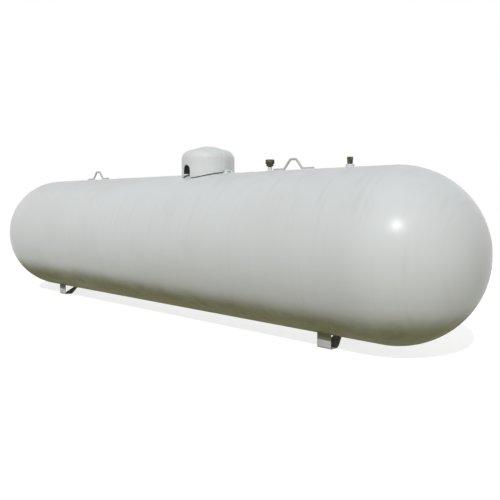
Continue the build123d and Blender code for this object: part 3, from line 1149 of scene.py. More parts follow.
@dataclass
class Legs:
    """Four legs, each one plate bent to a U whose back strap leans in and narrows up to the belly."""

    shop: Workshop
    tank: TankShape
    welder: Welder
    depth: float = 0.066
    plate: float = 0.006
    bend: float = 0.006
    lean: float = 56.0
    strap_end: float = 0.052
    bite: float = 0.0015
    edge: float = 0.0011

    def build(self) -> None:
        """Make the four legs and their welds."""
        for flank in Flank:
            for end in End:
                self.add_leg(f"{flank.value}_{end.value}_leg", flank)

    def add_leg(self, node: str, flank: Flank) -> None:
        """Make one leg and its weld.

        Args:
            node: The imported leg.
            flank: The side of the tank that it stands on.
        """
        box = NodeBox.of(node)
        front = max(abs(box.low.y), abs(box.high.y))
        leg = shift(turn(self.plate_mesh(front, box.length), flank.turned(), UP), box.x)
        self.shop.piece(f"{node}_plate", leg, Finish.LEG_SHADED_PAINT, stands_for=[node])
        weld = self.weld_mesh(box.x, front, box.length, flank)
        self.shop.piece(f"{node}_weld", weld, Finish.TANK_PAINT)

    def strap_reach(self, start: float) -> float:
        """How far a face of the back strap runs from the floor up to the belly.

        Args:
            start: Where the face's line crosses the floor, from the tank's middle.

        Returns:
            The length along the face.
        """
        lean = math.radians(self.lean)
        half = start * math.sin(lean) - self.tank.axis_z * math.cos(lean)
        return -half - math.sqrt(half ** 2 - start ** 2 - self.tank.axis_z ** 2 + self.tank.radius ** 2)

    def plate_mesh(self, front: float, width: float) -> BMesh:
        """Bend one leg's plate, for the front side of the tank.

        Args:
            front: The distance of its front face from the tank's middle.
            width: Its width along the tank.

        Returns:
            The plate.
        """
        outer = self.bend + self.plate
        neutral = self.bend + self.plate / 2
        back_turn = QUARTER_TURN - self.lean
        setback = outer * math.tan(math.radians(back_turn) / 2)
        top = self.tank.level(front, Side.BELLY) + self.bite
        start = Vector((0.0, self.plate / 2 - front, top))
        leg = BentBar(start, -UP, ALONG).flat(width, self.plate)
        leg.run(top - outer).bend(QUARTER_TURN, neutral)
        leg.run(self.depth - outer - setback).bend(back_turn, neutral)
        level = outer * math.cos(math.radians(back_turn)) / math.cos(math.radians(self.lean))
        rest = self.strap_reach(self.depth - front) - setback - level + self.bite
        leg.run(level).run(rest, narrow=self.strap_end / width)
        return soften(leg.finish(), self.edge)

    def weld_mesh(self, x: float, front: float, width: float, flank: Flank) -> BMesh:
        """Lay the beads round the plate's two ends.

        Args:
            x: The leg's middle along the tank.
            front: The distance of its front face from the tank's middle.
            width: Its width along the tank.
            flank: The side of the tank that it stands on.

        Returns:
            Both beads.
        """
        lean = math.radians(self.lean)
        lower = self.depth - front
        upper = lower - self.plate / math.cos(lean)
        near, far = (start + self.strap_reach(start) * math.sin(lean) for start in (upper, lower))
        hand = flank.hand()
        face = self.welder.loop(x, hand * (front - self.plate / 2), width, self.plate, Side.BELLY)
        back = self.welder.loop(x, -hand * (near + far) / 2, self.strap_end, far - near, Side.BELLY)
        return join(face, back)


@dataclass
class LiftingLoops:
    """Two lifting loops of bent round bar, welded along the crown."""

    shop: Workshop
    tank: TankShape
    welder: Welder
    bar: float = 0.016
    spread: float = 0.158
    top: float = 0.050
    bend: float = 0.016
    sink: float = 0.001
    sides: int = 24
    edge: float = 0.0015
    weld_share: float = 0.8

    def build(self) -> None:
        """Make both loops and their welds."""
        for end in End:
            node = f"{end.value}_lifting_lug"
            box = NodeBox.of(node)
            loop = shift(self.loop_mesh(box.length, box.high.z - self.tank.crown()), box.x)
            self.shop.piece(f"{end.value}_lifting_loop", loop, Finish.LOOP_SHADED_PAINT, stands_for=[node])
            weld = self.weld_mesh(box)
            self.shop.piece(f"{end.value}_lifting_loop_welds", weld, Finish.TANK_PAINT)

    def loop_mesh(self, length: float, rise: float) -> BMesh:
        """Bend one loop about x = 0.

        Args:
            length: From the end of one foot to the end of the other.
            rise: The loop's height over the crown.

        Returns:
            The bent bar.
        """
        low = self.bar / 2 - self.sink
        climb = rise - self.bar / 2 - low
        side = (self.spread - self.top) / 2
        slope = math.degrees(math.atan2(climb, side))
        setback = self.bend * math.tan(math.radians(slope) / 2)
        flank = math.hypot(climb, side) - 2 * setback
        foot = (length - self.spread) / 2 - setback
        start = Vector((-length / 2, 0.0, self.tank.crown() + low))
        loop = BentBar(start, ALONG, -ACROSS).rounded(self.bar / 2, self.sides)
        loop.run(foot).bend(slope, self.bend).run(flank).bend(-slope, self.bend)
        loop.run(self.top - 2 * setback)
        loop.bend(-slope, self.bend).run(flank).bend(slope, self.bend).run(foot)
        return soften(loop.finish(), self.edge)

    def weld_mesh(self, box: NodeBox) -> BMesh:
        """Lay the beads round a loop's two feet.

        Args:
            box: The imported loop's box.

        Returns:
            Both beads.
        """
        foot = (box.length - self.spread) / 2
        out = (self.spread + foot) / 2
        return join(*(self.welder.loop(box.x + hand * out, 0.0, foot, self.bar * self.weld_share)
                      for hand in (-1.0, 1.0)))


def pin_place() -> Point:
    """The hinge pin's place along the tank and its height."""
    along, _, up = frame["joints"][0]["pos_m"]
    return along, up


@dataclass(frozen=True)
class EyePlate:
    """A flat padlock eye: a ring about a hole at the origin, whose +X side runs out to a straight root."""

    reach: float
    root: float
    thickness: float
    ring: float = 0.013
    hole: float = 0.006
    sides: int = 48
    edge_share: float = 1 / 8

    def mesh(self) -> BMesh:
        """Cut the plate, whose thickness lies upward from z = 0.

        Returns:
            The plate with softened edges.
        """
        mesh = bmesh.new()
        bmesh.ops.create_circle(mesh, segments=self.sides, radius=self.hole)
        outer = bmesh.ops.create_circle(mesh, segments=self.sides, radius=self.ring)["verts"]
        for vert in outer:
            angle = bearing(vert.co)
            if abs(angle) < math.pi / 2 - MERGE:
                vert.co.x = self.reach
                vert.co.y = self.root / 2 * max(-1.0, min(1.0, math.tan(angle)))
        bmesh.ops.bridge_loops(mesh, edges=mesh.edges[:])
        bmesh.ops.remove_doubles(mesh, verts=mesh.verts[:], dist=MERGE)
        bmesh.ops.recalc_face_normals(mesh, faces=mesh.faces[:])
        return soften(thicken(mesh, UP * self.thickness), self.thickness * self.edge_share)


@dataclass
class Hood:
    """The pressed hood with its saddle rim and notch, its hinge leaf and its padlock eye."""

    shop: Workshop
    tank: TankShape
    sheet: float = 0.003
    wall: float = 0.108
    shoulder: float = 0.070
    shoulder_spans: int = 10
    slope: float = 16.0
    crown_radius: float = 0.260
    crown_spans: int = 6
    gap: float = 0.008
    notch_half: int = 6
    notch_top: float = 0.064
    notch_bearing: float = -95.5
    over_notch: float = 0.082
    columns: int = 188
    rim_edge: float = 0.0007
    rim_over: float = 60.0
    leaf_plate: float = 0.004
    leaf_wrap: float = 50.0
    leaf_rows: int = 12
    leaf_sweep: float = 14.0
    leaf_columns: int = 14
    leaf_edge: float = 0.0008
    bore: float = 0.0045
    barrel: float = 0.0085
    barrel_sides: int = 48
    web_slack: float = 0.001
    middle: float = field(init=False)
    radius: float = field(init=False)
    crown: float = field(init=False)

    def __post_init__(self) -> None:
        """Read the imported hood's place and size."""
        box = NodeBox.of("hood")
        self.middle = box.x
        self.radius = box.length / 2
        self.crown = self.tank.crown()

    def build(self) -> None:
        """Make the hood's pieces, which all ride on it."""
        paint = Finish.HOOD_PAINT
        self.shop.piece("pressed_hood", self.shell_mesh(), paint, Body.HOOD, ["hood"])
        self.shop.piece("bent_hinge_leaf", self.leaf_mesh(), paint, Body.HOOD, ["hood_hinge_leaf"])
        self.shop.piece("hood_eye_tab", self.eye_mesh(), paint, Body.HOOD, ["hood_padlock_eye"])

    def outline(self, arch: float) -> list[Point]:
        """The hood's section from its rim up to the middle.

        Args:
            arch: The height at which the notch's round top begins.

        Returns:
            The (radius, height) corners over the crown.
        """
        steep = QUARTER_TURN - self.slope
        bend = (self.radius - self.shoulder, self.wall)
        rows = [(self.radius, up) for up in (0.0, arch, self.over_notch, self.wall)]
        rows += arc(bend, self.shoulder, 0.0, steep, self.shoulder_spans)[1:]
        edge_x, edge_z = rows[-1]
        tilt = math.radians(self.slope)
        dome_x = self.crown_radius * math.sin(tilt)
        dome_z = edge_z + (edge_x - dome_x) * math.tan(tilt)
        halfway = ((edge_x + dome_x) / 2, (edge_z + dome_z) / 2)
        middle = (0.0, dome_z - self.crown_radius * math.cos(tilt))
        dome = arc(middle, self.crown_radius, steep, QUARTER_TURN, self.crown_spans)
        return [*rows, halfway, *dome[:-1], (0.0, dome[-1][1])]

    def shell_mesh(self) -> BMesh:
        """Press the hood: spin its section, open the notch and lead the rim along the tank.

        Returns:
            The hood with its sheet's thickness.
        """
        step = math.tau / self.columns
        jamb = self.notch_half * step
        half = self.radius * math.sin(jamb)
        spring = self.notch_top - half
        mesh = lathe(self.outline(spring), self.columns)
        rim = [vert for vert in mesh.verts if abs(vert.co.z) < MERGE]
        arch = [vert for vert in mesh.verts if abs(vert.co.z - spring) < MERGE]
        bay = dict.fromkeys(face for vert in rim for face in vert.link_faces
                            if abs(bearing(face.calc_center_median())) < jamb)
        for vert in arch:
            if abs(bearing(vert.co)) < jamb + step / 2:
                vert.co.z = spring + math.sqrt(max(0.0, half ** 2 - vert.co.y ** 2))
        bmesh.ops.delete(mesh, geom=list(bay), context="FACES")
        turn(mesh, self.notch_bearing, UP)
        for vert in rim:
            if vert.is_valid:
                vert.co.z = self.tank.level(vert.co.y, Side.CROWN, self.gap) - self.crown
        bmesh.ops.recalc_face_normals(mesh, faces=mesh.faces[:])
        bmesh.ops.solidify(mesh, geom=mesh.faces[:], thickness=self.sheet)
        soften(mesh, self.rim_edge, self.rim_over)
        return shift(mesh, self.middle, 0.0, self.crown)

    def leaf_mesh(self) -> BMesh:
        """Bend the hinge leaf over the hood's wall and shoulder and roll its barrel.

        Returns:
            The leaf.
        """
        half = NodeBox.of("hood_hinge_leaf").depth / 2
        pin_x, pin_z = pin_place()
        tube = [(self.bore, -half), (self.barrel, -half), (self.barrel, half), (self.bore, half),
                (self.bore, -half)]
        barrel = soften(lathe(tube, self.barrel_sides), self.leaf_edge)
        shift(turn(barrel, QUARTER_TURN, ALONG), pin_x, 0.0, pin_z)
        wall = self.middle + self.radius
        web = block((pin_x - wall - self.bore, 2 * (half - self.web_slack), self.barrel - self.web_slack),
                    ((wall + pin_x - self.bore) / 2, 0.0, pin_z + self.barrel / 2), self.leaf_edge)
        return join(self.strap_mesh(half, pin_z - self.crown), barrel, web)

    def strap_mesh(self, half: float, foot: float) -> BMesh:
        """Bend the leaf's flat strap, which keeps its width as it climbs.

        Args:
            half: Half its width.
            foot: The height of its lower end over the crown.

        Returns:
            The strap.
        """
        bend = (self.radius - self.shoulder, self.wall)
        inner, outer = ([(self.radius + out, foot),
                         *arc(bend, self.shoulder + out, 0.0, self.leaf_wrap, self.leaf_rows)]
                        for out in (0.0, self.leaf_plate))
        strap = lathe(inner + outer[::-1] + inner[:1], self.leaf_columns, self.leaf_sweep)
        turn(strap, -self.leaf_sweep / 2, UP)
        for vert in strap.verts:
            out = vert.co.xy.length
            vert.co.y = half * math.degrees(bearing(vert.co)) / (self.leaf_sweep / 2)
            vert.co.x = math.sqrt(out ** 2 - vert.co.y ** 2)
        return shift(soften(strap, self.leaf_edge), self.middle, 0.0, self.crown)

    def eye_mesh(self) -> BMesh:
        """Cut the padlock eye's tab, whose root meets the hood's wall.

        Returns:
            The tab.
        """
        box = NodeBox.of("hood_padlock_eye")
        hole_x = box.low.x + EyePlate.ring
        tab = EyePlate(box.high.x - hole_x + self.sheet, 2 * EyePlate.ring, box.depth).mesh()
        return shift(turn(tab, QUARTER_TURN, ALONG), hole_x, box.high.y, box.z)


@dataclass
class HoodMounts:
    """What holds the hood to the tank: the hinge bracket with its pin, and the padlock eye."""

    shop: Workshop
    tank: TankShape
    welder: Welder
    cheek: float = 0.006
    cheek_radius: float = 0.0075
    cheek_inner: float = 0.0265
    cheek_bite: float = 0.002
    cheek_slope: float = 40.0
    cheek_spans: int = 12
    base: float = 0.004
    base_columns: int = 2
    base_rows: int = 16
    pin: float = 0.004
    pin_head: float = 0.0065
    pin_sides: int = 40
    head_rise: float = 0.003
    head_spans: int = 6
    edge: float = 0.0007
    eye_bite: float = 0.002

    def build(self) -> None:
        """Make the bracket, the pin and the eye."""
        paint = Finish.TANK_PAINT
        self.shop.piece("welded_hinge_bracket", self.bracket_mesh(), paint, stands_for=["hinge_bracket"])
        self.shop.piece("headed_hinge_pin", self.pin_mesh(), Finish.PIN_STEEL, stands_for=["hinge_pin"])
        self.shop.piece("tank_eye_plate", self.eye_mesh(), paint, stands_for=["tank_padlock_eye"])

    def bracket_mesh(self) -> BMesh:
        """Weld two cheeks to a base plate that follows the crown.

        Returns:
            The bracket.
        """
        box = NodeBox.of("hinge_bracket")
        base = bmesh.new()
        bmesh.ops.create_grid(base, x_segments=self.base_columns, y_segments=self.base_rows, size=0.5)
        bmesh.ops.scale(base, vec=Vector((box.length, box.depth, 1.0)), verts=base.verts[:])
        soften(thicken(base, UP * self.base), self.edge)
        self.tank.drape(shift(base, box.x))
        pin_x, pin_z = pin_place()
        foot = self.tank.level(self.cheek_inner, Side.CROWN) - pin_z + self.cheek_bite
        toe = box.high.x - pin_x
        outline = arc((0.0, 0.0), self.cheek_radius, HALF_TURN, self.cheek_slope, self.cheek_spans)
        outline += [(toe, foot + self.base), (toe, foot), (-self.cheek_radius, foot)]
        cheeks = [shift(cut_plate(outline, self.cheek, self.edge), pin_x, y, pin_z)
                  for y in (self.cheek_inner, -self.cheek_inner - self.cheek)]
        bead = self.welder.loop(box.x, 0.0, box.length, box.depth)
        return join(base, *cheeks, bead)

    def pin_mesh(self) -> BMesh:
        """Turn the pin with a low domed head at each end.

        Returns:
            The pin.
        """
        end = NodeBox.of("hinge_pin").depth / 2
        quarter = arc((0.0, 0.0), 1.0, QUARTER_TURN, 0.0, self.head_spans)
        dome = [(self.pin_head * across, end + self.head_rise * (up - 1.0)) for across, up in quarter]
        upper = [(0.0, end), *dome[1:], (self.pin, end - self.head_rise)]
        lower = [(across, -up) for across, up in reversed(upper)]
        pin_x, pin_z = pin_place()
        return shift(turn(lathe(upper + lower, self.pin_sides), QUARTER_TURN, ALONG), pin_x, 0.0, pin_z)

    def eye_mesh(self) -> BMesh:
        """Cut the padlock eye and weld its foot to the crown.

        Returns:
            The eye with its weld.
        """
        box = NodeBox.of("tank_padlock_eye")
        hole_z = box.high.z - EyePlate.ring
        reach = hole_z - self.tank.level(box.low.y, Side.CROWN) + self.eye_bite
        eye = EyePlate(reach, box.length, box.depth).mesh()
        turn(turn(eye, QUARTER_TURN, ALONG), QUARTER_TURN, ACROSS)
        bead = self.welder.loop(box.x, box.y, box.length, box.depth)
        return join(shift(eye, box.x, box.high.y, hole_z), bead)


@dataclass(frozen=True)
class Nut:
    """A hexagon with turned chamfers that stands on z = 0. Its steps are a multiple of twelve."""

    across: float
    rise: float
    steps: int = ROUND_STEPS
    sides: int = 6
    collar_share: float = 0.95

    def mesh(self) -> BMesh:
        """Turn a drum and pull its middle rows out to the flats and corners.

        Returns:
            The hexagon.
        """
        flat = self.across / 2
        collar = flat * self.collar_share
        third = self.rise / 3
        mesh = lathe([(0.0, 0.0), (collar, 0.0), (flat, third), (flat, 2 * third), (collar, self.rise),
                      (0.0, self.rise)], self.steps)
        half_side = math.pi / self.sides
        for vert in mesh.verts:
            if third / 2 < vert.co.z < self.rise - third / 2:
                angle = bearing(vert.co)
                reach = flat / math.cos(angle % (2 * half_side) - half_side)
                slack = (reach - collar) * math.tan(half_side)
                up = slack if vert.co.z < self.rise / 2 else self.rise - slack
                vert.co = Vector((reach * math.cos(angle), reach * math.sin(angle), up))
        return mesh


@dataclass(frozen=True)
class ScrewCap:
    """A screw cap with grip flutes, a rounded top edge and a dished top, which stands on z = 0.

    The lip is a share of the height, the dish's depth one of the lip, and the other shares are of the radius.
    """

    radius: float
    rise: float
    flutes: int
    depth: float
    lip_share: float = 0.14
    lip_spans: int = 5
    foot_share: float = 0.96
    grip_share: float = 0.95
    dish_edge: float = 0.66
    dish_floor: float = 0.62
    dish_depth: float = 0.4
    flute_spans: int = 8

    def mesh(self) -> BMesh:
        """Turn the cap and press its flutes.

        Returns:
            The cap.
        """
        radius, rise = self.radius, self.rise
        lip = rise * self.lip_share
        floor = rise - lip * self.dish_depth
        outline = [(0.0, 0.0), (radius * self.foot_share, 0.0), (radius, lip / 2), (radius, rise - lip)]
        outline += arc((radius - lip, rise - lip), lip, 0.0, QUARTER_TURN, self.lip_spans)[1:]
        outline += [(radius * self.dish_edge, rise), (radius * self.dish_floor, floor), (0.0, floor)]
        return draw_in(lathe(outline, self.flutes * self.flute_spans), radius * self.grip_share,
                       lambda angle: 1.0 - self.depth / radius * swell(self.flutes, angle) ** 2)


def threads(radius: float, foot: float, rise: float, pitch: float = 0.0024,
            tooth: float = 0.55) -> list[Point]:
    """The saw-tooth side of a threaded neck.

    Args:
        radius: The thread's outer radius.
        foot: Where it begins.
        rise: How far it reaches.
        pitch: From one tooth to the next.
        tooth: A tooth's depth as a share of the pitch.

    Returns:
        The (radius, height) corners.
    """
    root = radius - pitch * tooth
    teeth = [(root, foot)]
    for count in range(int(rise / pitch)):
        teeth += [(radius, foot + (count + 0.5) * pitch), (root, foot + (count + 1.0) * pitch)]
    return teeth


@dataclass
class CrownFitting:
    """A fitting that screws into a half coupling welded to the crown."""

    shop: Workshop
    tank: TankShape
    welder: Welder
    name: str
    brass: Finish = Finish.AGED_BRASS
    sink: float = 0.002
    chamfer: float = 0.002
    flute: float = 0.0024

    def couple(self) -> NodeBox:
        """Make the coupling with its weld.

        Returns:
            The coupling's place.
        """
        node = f"{self.name}_coupling"
        seat = NodeBox.of(node)
        top = seat.high.z
        pipe = lathe([(0.0, 0.0), (seat.radius, 0.0), (seat.radius, top - self.chamfer),
                      (seat.radius - self.chamfer, top), (0.0, top)])
        shift(pipe, seat.x, seat.y)
        for vert in pipe.verts:
            if vert.co.z < self.tank.axis_z:
                vert.co.z = self.tank.level(vert.co.y, Side.CROWN) - self.sink
        bead = self.welder.ring(seat.x, seat.y, seat.radius)
        self.shop.piece(f"{self.name}_half_coupling", join(pipe, bead), Finish.TANK_PAINT, stands_for=[node])
        return seat

    def add_cap(self, seat: NodeBox, flutes: int, finish: Finish) -> None:
        """Screw on the cap.

        Args:
            seat: The coupling's place.
            flutes: How many grip flutes the cap has.
            finish: The cap's finish.
        """
        node = f"{self.name}_cap"
        box = NodeBox.of(node)
        cap = ScrewCap(box.radius, box.rise, flutes, self.flute).mesh()
        shift(cap, seat.x, seat.y, box.low.z)
        self.shop.piece(f"{self.name}_screw_cap", cap, finish, stands_for=[node])

    def add_valve(self, seat: NodeBox, *parts: BMesh) -> None:
        """Stand the valve's turned parts, made about z = 0, on the coupling."""
        mesh = shift(join(*parts), seat.x, seat.y, seat.high.z)
        self.shop.piece(f"{self.name}_valve_body", mesh, self.brass, stands_for=[f"{self.name}_valve"])


@dataclass
class CappedValve(CrownFitting):
    """A hexagon with a threaded neck under a screw cap."""

    across: float = 0.050
    hex_rise: float = 0.018
    neck: float = 0.021
    flutes: int = 12

    def build(self) -> None:
        """Make the coupling, the valve and its cap."""
        seat = self.couple()
        top = NodeBox.of(f"{self.name}_valve").rise
        side = threads(self.neck, self.hex_rise / 2, top - self.hex_rise / 2)
        root, foot = side[0]
        neck = lathe([(0.0, foot), *side, (root, top), (0.0, top)])
        self.add_valve(seat, Nut(self.across, self.hex_rise).mesh(), neck)
        self.add_cap(seat, self.flutes, Finish.DARK_PLASTIC)


@dataclass
class ReliefValve(CrownFitting):
    """A tall relief valve with a rain cap."""

    across: float = 0.058
    hex_rise: float = 0.020
    neck: float = 0.0235
    neck_rise: float = 0.006
    body: float = 0.027
    body_foot: float = 0.010
    groove: float = 0.0018
    flutes: int = 8

    def build(self) -> None:
        """Make the coupling, the valve and its cap."""
        seat = self.couple()
        top = NodeBox.of("relief_valve").rise
        half = (self.hex_rise + top) / 2
        inset = self.body - self.groove
        outline = [(0.0, self.hex_rise / 2), (self.neck, self.hex_rise / 2)]
        outline += [(self.neck, self.hex_rise + self.neck_rise), (self.body, self.hex_rise + self.body_foot)]
        outline += [(self.body, half - self.groove), (inset, half), (self.body, half + self.groove)]
        outline += [(self.body, top - self.groove), (inset, top), (0.0, top)]
        self.add_valve(seat, Nut(self.across, self.hex_rise).mesh(), lathe(outline))
        self.add_cap(seat, self.flutes, Finish.RED_PLASTIC)


@dataclass
class LiquidValve(CrownFitting):
    """The squat valve beside the hood: a short neck, a hexagon and a wider cap."""

    neck: float = 0.013
    neck_rise: float = 0.004
    neck_bite: float = 0.25
    across: float = 0.046
    flutes: int = 12

    def build(self) -> None:
        """Make the coupling, the valve and its cap."""
        seat = self.couple()
        rise = NodeBox.of("liquid_valve").rise - self.neck_rise
        top = self.neck_rise + rise * self.neck_bite
        neck = lathe([(0.0, 0.0), *threads(self.neck, 0.0, top), (0.0, top)])
        self.add_valve(seat, neck, shift(Nut(self.across, rise).mesh(), 0.0, 0.0, self.neck_rise))
        self.add_cap(seat, self.flutes, self.brass)


@dataclass
class DrainPlug(CrownFitting):
    """The tapered plug near the end of the tank."""

    foot: float = 0.0165
    socket: float = 0.0100
    socket_depth: float = 0.008
    edge: float = 0.002
    band: float = 0.006
    flare: float = 0.0005
    ribs: int = 14
    rib: float = 0.0011
    rib_spans: int = 8
    rib_share: float = 0.99

    def build(self) -> None:
        """Make the coupling and the plug."""
        seat = self.couple()
        plug = shift(self.plug_mesh(NodeBox.of("drain_plug")), seat.x, seat.y, seat.high.z)
        self.shop.piece("tapered_drain_plug", plug, self.brass, stands_for=["drain_plug"])

    def plug_mesh(self, box: NodeBox) -> BMesh:
        """Turn the plug, sink its socket and press its ribs.

        Args:
            box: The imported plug's box.

        Returns:
            The plug about z = 0.
        """
        radius, rise = box.radius, box.rise
        floor = rise - self.socket_depth
        outline = [(0.0, 0.0), (self.foot, 0.0), (self.foot + self.flare, self.band)]
        outline += [(radius, rise - self.band), (radius, rise - self.edge), (radius - self.edge, rise)]
        outline += [(self.socket, rise), (self.socket, floor), (0.0, floor)]
        return draw_in(lathe(outline, self.ribs * self.rib_spans), self.foot * self.rib_share,
                       lambda angle: 1.0 - self.rib / radius * abs(math.sin(self.ribs / 2 * angle)))


@dataclass
class GaugeHead(CrownFitting):
    """The float gauge: a bolted flange, a round head and a dial under a lens."""

    flange: float = 0.064
    flange_rise: float = 0.010
    corner: float = 0.013
    corner_spans: int = 8
    edge: float = 0.0008
    head: float = 0.022
    bolt: float = 0.010
    bolt_rise: float = 0.004
    bolt_out: float = 0.0225
    bolt_steps: int = 24
    bezel: float = 0.0025
    face: float = 0.008
    ticks: int = 11
    tick: float = 0.0035
    tick_width: float = 0.0010
    tick_start: float = -45.0
    tick_sweep: float = 270.0
    ink: float = 0.0003
    ink_edge: float = 0.000075
    pointer: float = 0.026
    pointer_width: float = 0.0020
    pointer_rise: float = 0.0006
    pointer_out: float = 0.0052
    pointer_up: float = 0.0009
    pointer_turn: float = 150.0
    boss_rise: float = 0.0015
    boss_sides: int = 24
    lens_spans: int = 9
    dial: NodeBox = field(init=False)

    def __post_init__(self) -> None:
        """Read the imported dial's place and size."""
        self.dial = NodeBox.of("gauge_dial")

    def build(self) -> None:
        """Make the coupling, the flange, the head and the dial."""
        seat = self.couple()
        body = shift(join(self.flange_mesh(), *self.bolt_meshes()), seat.x, seat.y, seat.high.z)
        self.shop.piece("bolted_gauge_body", body, Finish.GAUGE_ALLOY, stands_for=["gauge_body"])
        self.add_dial("gauge_dial_cup", self.cup_mesh(), Finish.DIAL_PLASTIC, ["gauge_dial"])
        self.add_dial("gauge_dial_marks", self.mark_mesh(), Finish.DARK_PLASTIC)
        self.add_dial("gauge_pointer", self.pointer_mesh(), Finish.RED_PLASTIC)
        self.add_dial("gauge_lens", self.lens_mesh(), Finish.CLEAR_LENS)

    def add_dial(self, name: str, mesh: BMesh, finish: Finish, stands_for: Sequence[str] = ()) -> None:
        """Put a part of the dial, made about z = 0, on the head."""
        shift(mesh, self.dial.x, self.dial.y, self.dial.low.z)
        self.shop.piece(name, mesh, finish, stands_for=stands_for)

    def flange_mesh(self) -> BMesh:
        """Make the square flange with its round head.

        Returns:
            Both in one mesh.
        """
        rise = self.flange_rise
        plate = cuboid((self.flange, self.flange, rise))
        upright = [edge for edge in plate.edges if abs((edge.verts[0].co - edge.verts[1].co).z) > rise / 2]
        round_edges(plate, upright, self.corner, self.corner_spans)
        shift(soften(plate, self.edge), 0.0, 0.0, rise / 2)
        top = NodeBox.of("gauge_body").rise
        waist = self.head - self.bezel
        head = lathe([(0.0, rise / 2), (self.head, rise / 2), (self.head, rise + self.bezel),
                      (waist, rise + 2 * self.bezel), (waist, top), (0.0, top)])
        return join(plate, head)

    def bolt_meshes(self) -> list[BMesh]:
        """Make the flange's four bolt heads.

        Returns:
            One mesh for each.
        """
        places = [(x, y) for x in (-self.bolt_out, self.bolt_out) for y in (-self.bolt_out, self.bolt_out)]
        head = Nut(self.bolt, self.bolt_rise, self.bolt_steps)
        return [shift(head.mesh(), x, y, self.flange_rise) for x, y in places]

    def cup_mesh(self) -> BMesh:
        """Turn the dial's cup with its bezel and flat face.

        Returns:
            The cup.
        """
        outer = self.dial.radius
        inner = outer - self.bezel
        lip = self.face + self.bezel
        chamfer = self.edge * 2
        return lathe([(0.0, 0.0), (outer - self.edge, 0.0), (outer, self.edge), (outer, lip - chamfer),
                      (outer - chamfer, lip), (inner, lip), (inner, self.face), (0.0, self.face)])

    def mark_mesh(self) -> BMesh:
        """Print the dial's plain marks round its face.

        Returns:
            All marks in one mesh.
        """
        size = (self.tick, self.tick_width, self.ink)
        spot = (self.dial.radius - self.bezel - self.tick, 0.0, self.face + self.ink / 2)
        turns = [self.tick_start + self.tick_sweep * count / (self.ticks - 1) for count in range(self.ticks)]
        return join(*(turn(block(size, spot, self.ink_edge), angle, UP) for angle in turns))

    def pointer_mesh(self) -> BMesh:
        """Make the pointer on its boss.

        Returns:
            The pointer.
        """
        size = (self.pointer, self.pointer_width, self.pointer_rise)
        hand = block(size, (self.pointer_out, 0.0, self.face + self.pointer_up), self.ink_edge)
        boss = shift(post(self.boss_sides, self.tick, self.boss_rise), 0.0, 0.0, self.face)
        return turn(join(hand, soften(boss, self.ink)), self.pointer_turn, UP)

    def lens_mesh(self) -> BMesh:
        """Mould the low round lens.

        Returns:
            The lens.
        """
        out = self.dial.radius - self.bezel - self.ink
        foot = self.face + self.bezel - self.edge
        rise = self.dial.rise - foot
        quarter = arc((0.0, 0.0), 1.0, 0.0, QUARTER_TURN, self.lens_spans)
        dome = [(out * across, foot + rise * up) for across, up in quarter[:-1]]
        return lathe([(0.0, foot), *dome, (0.0, foot + rise)])


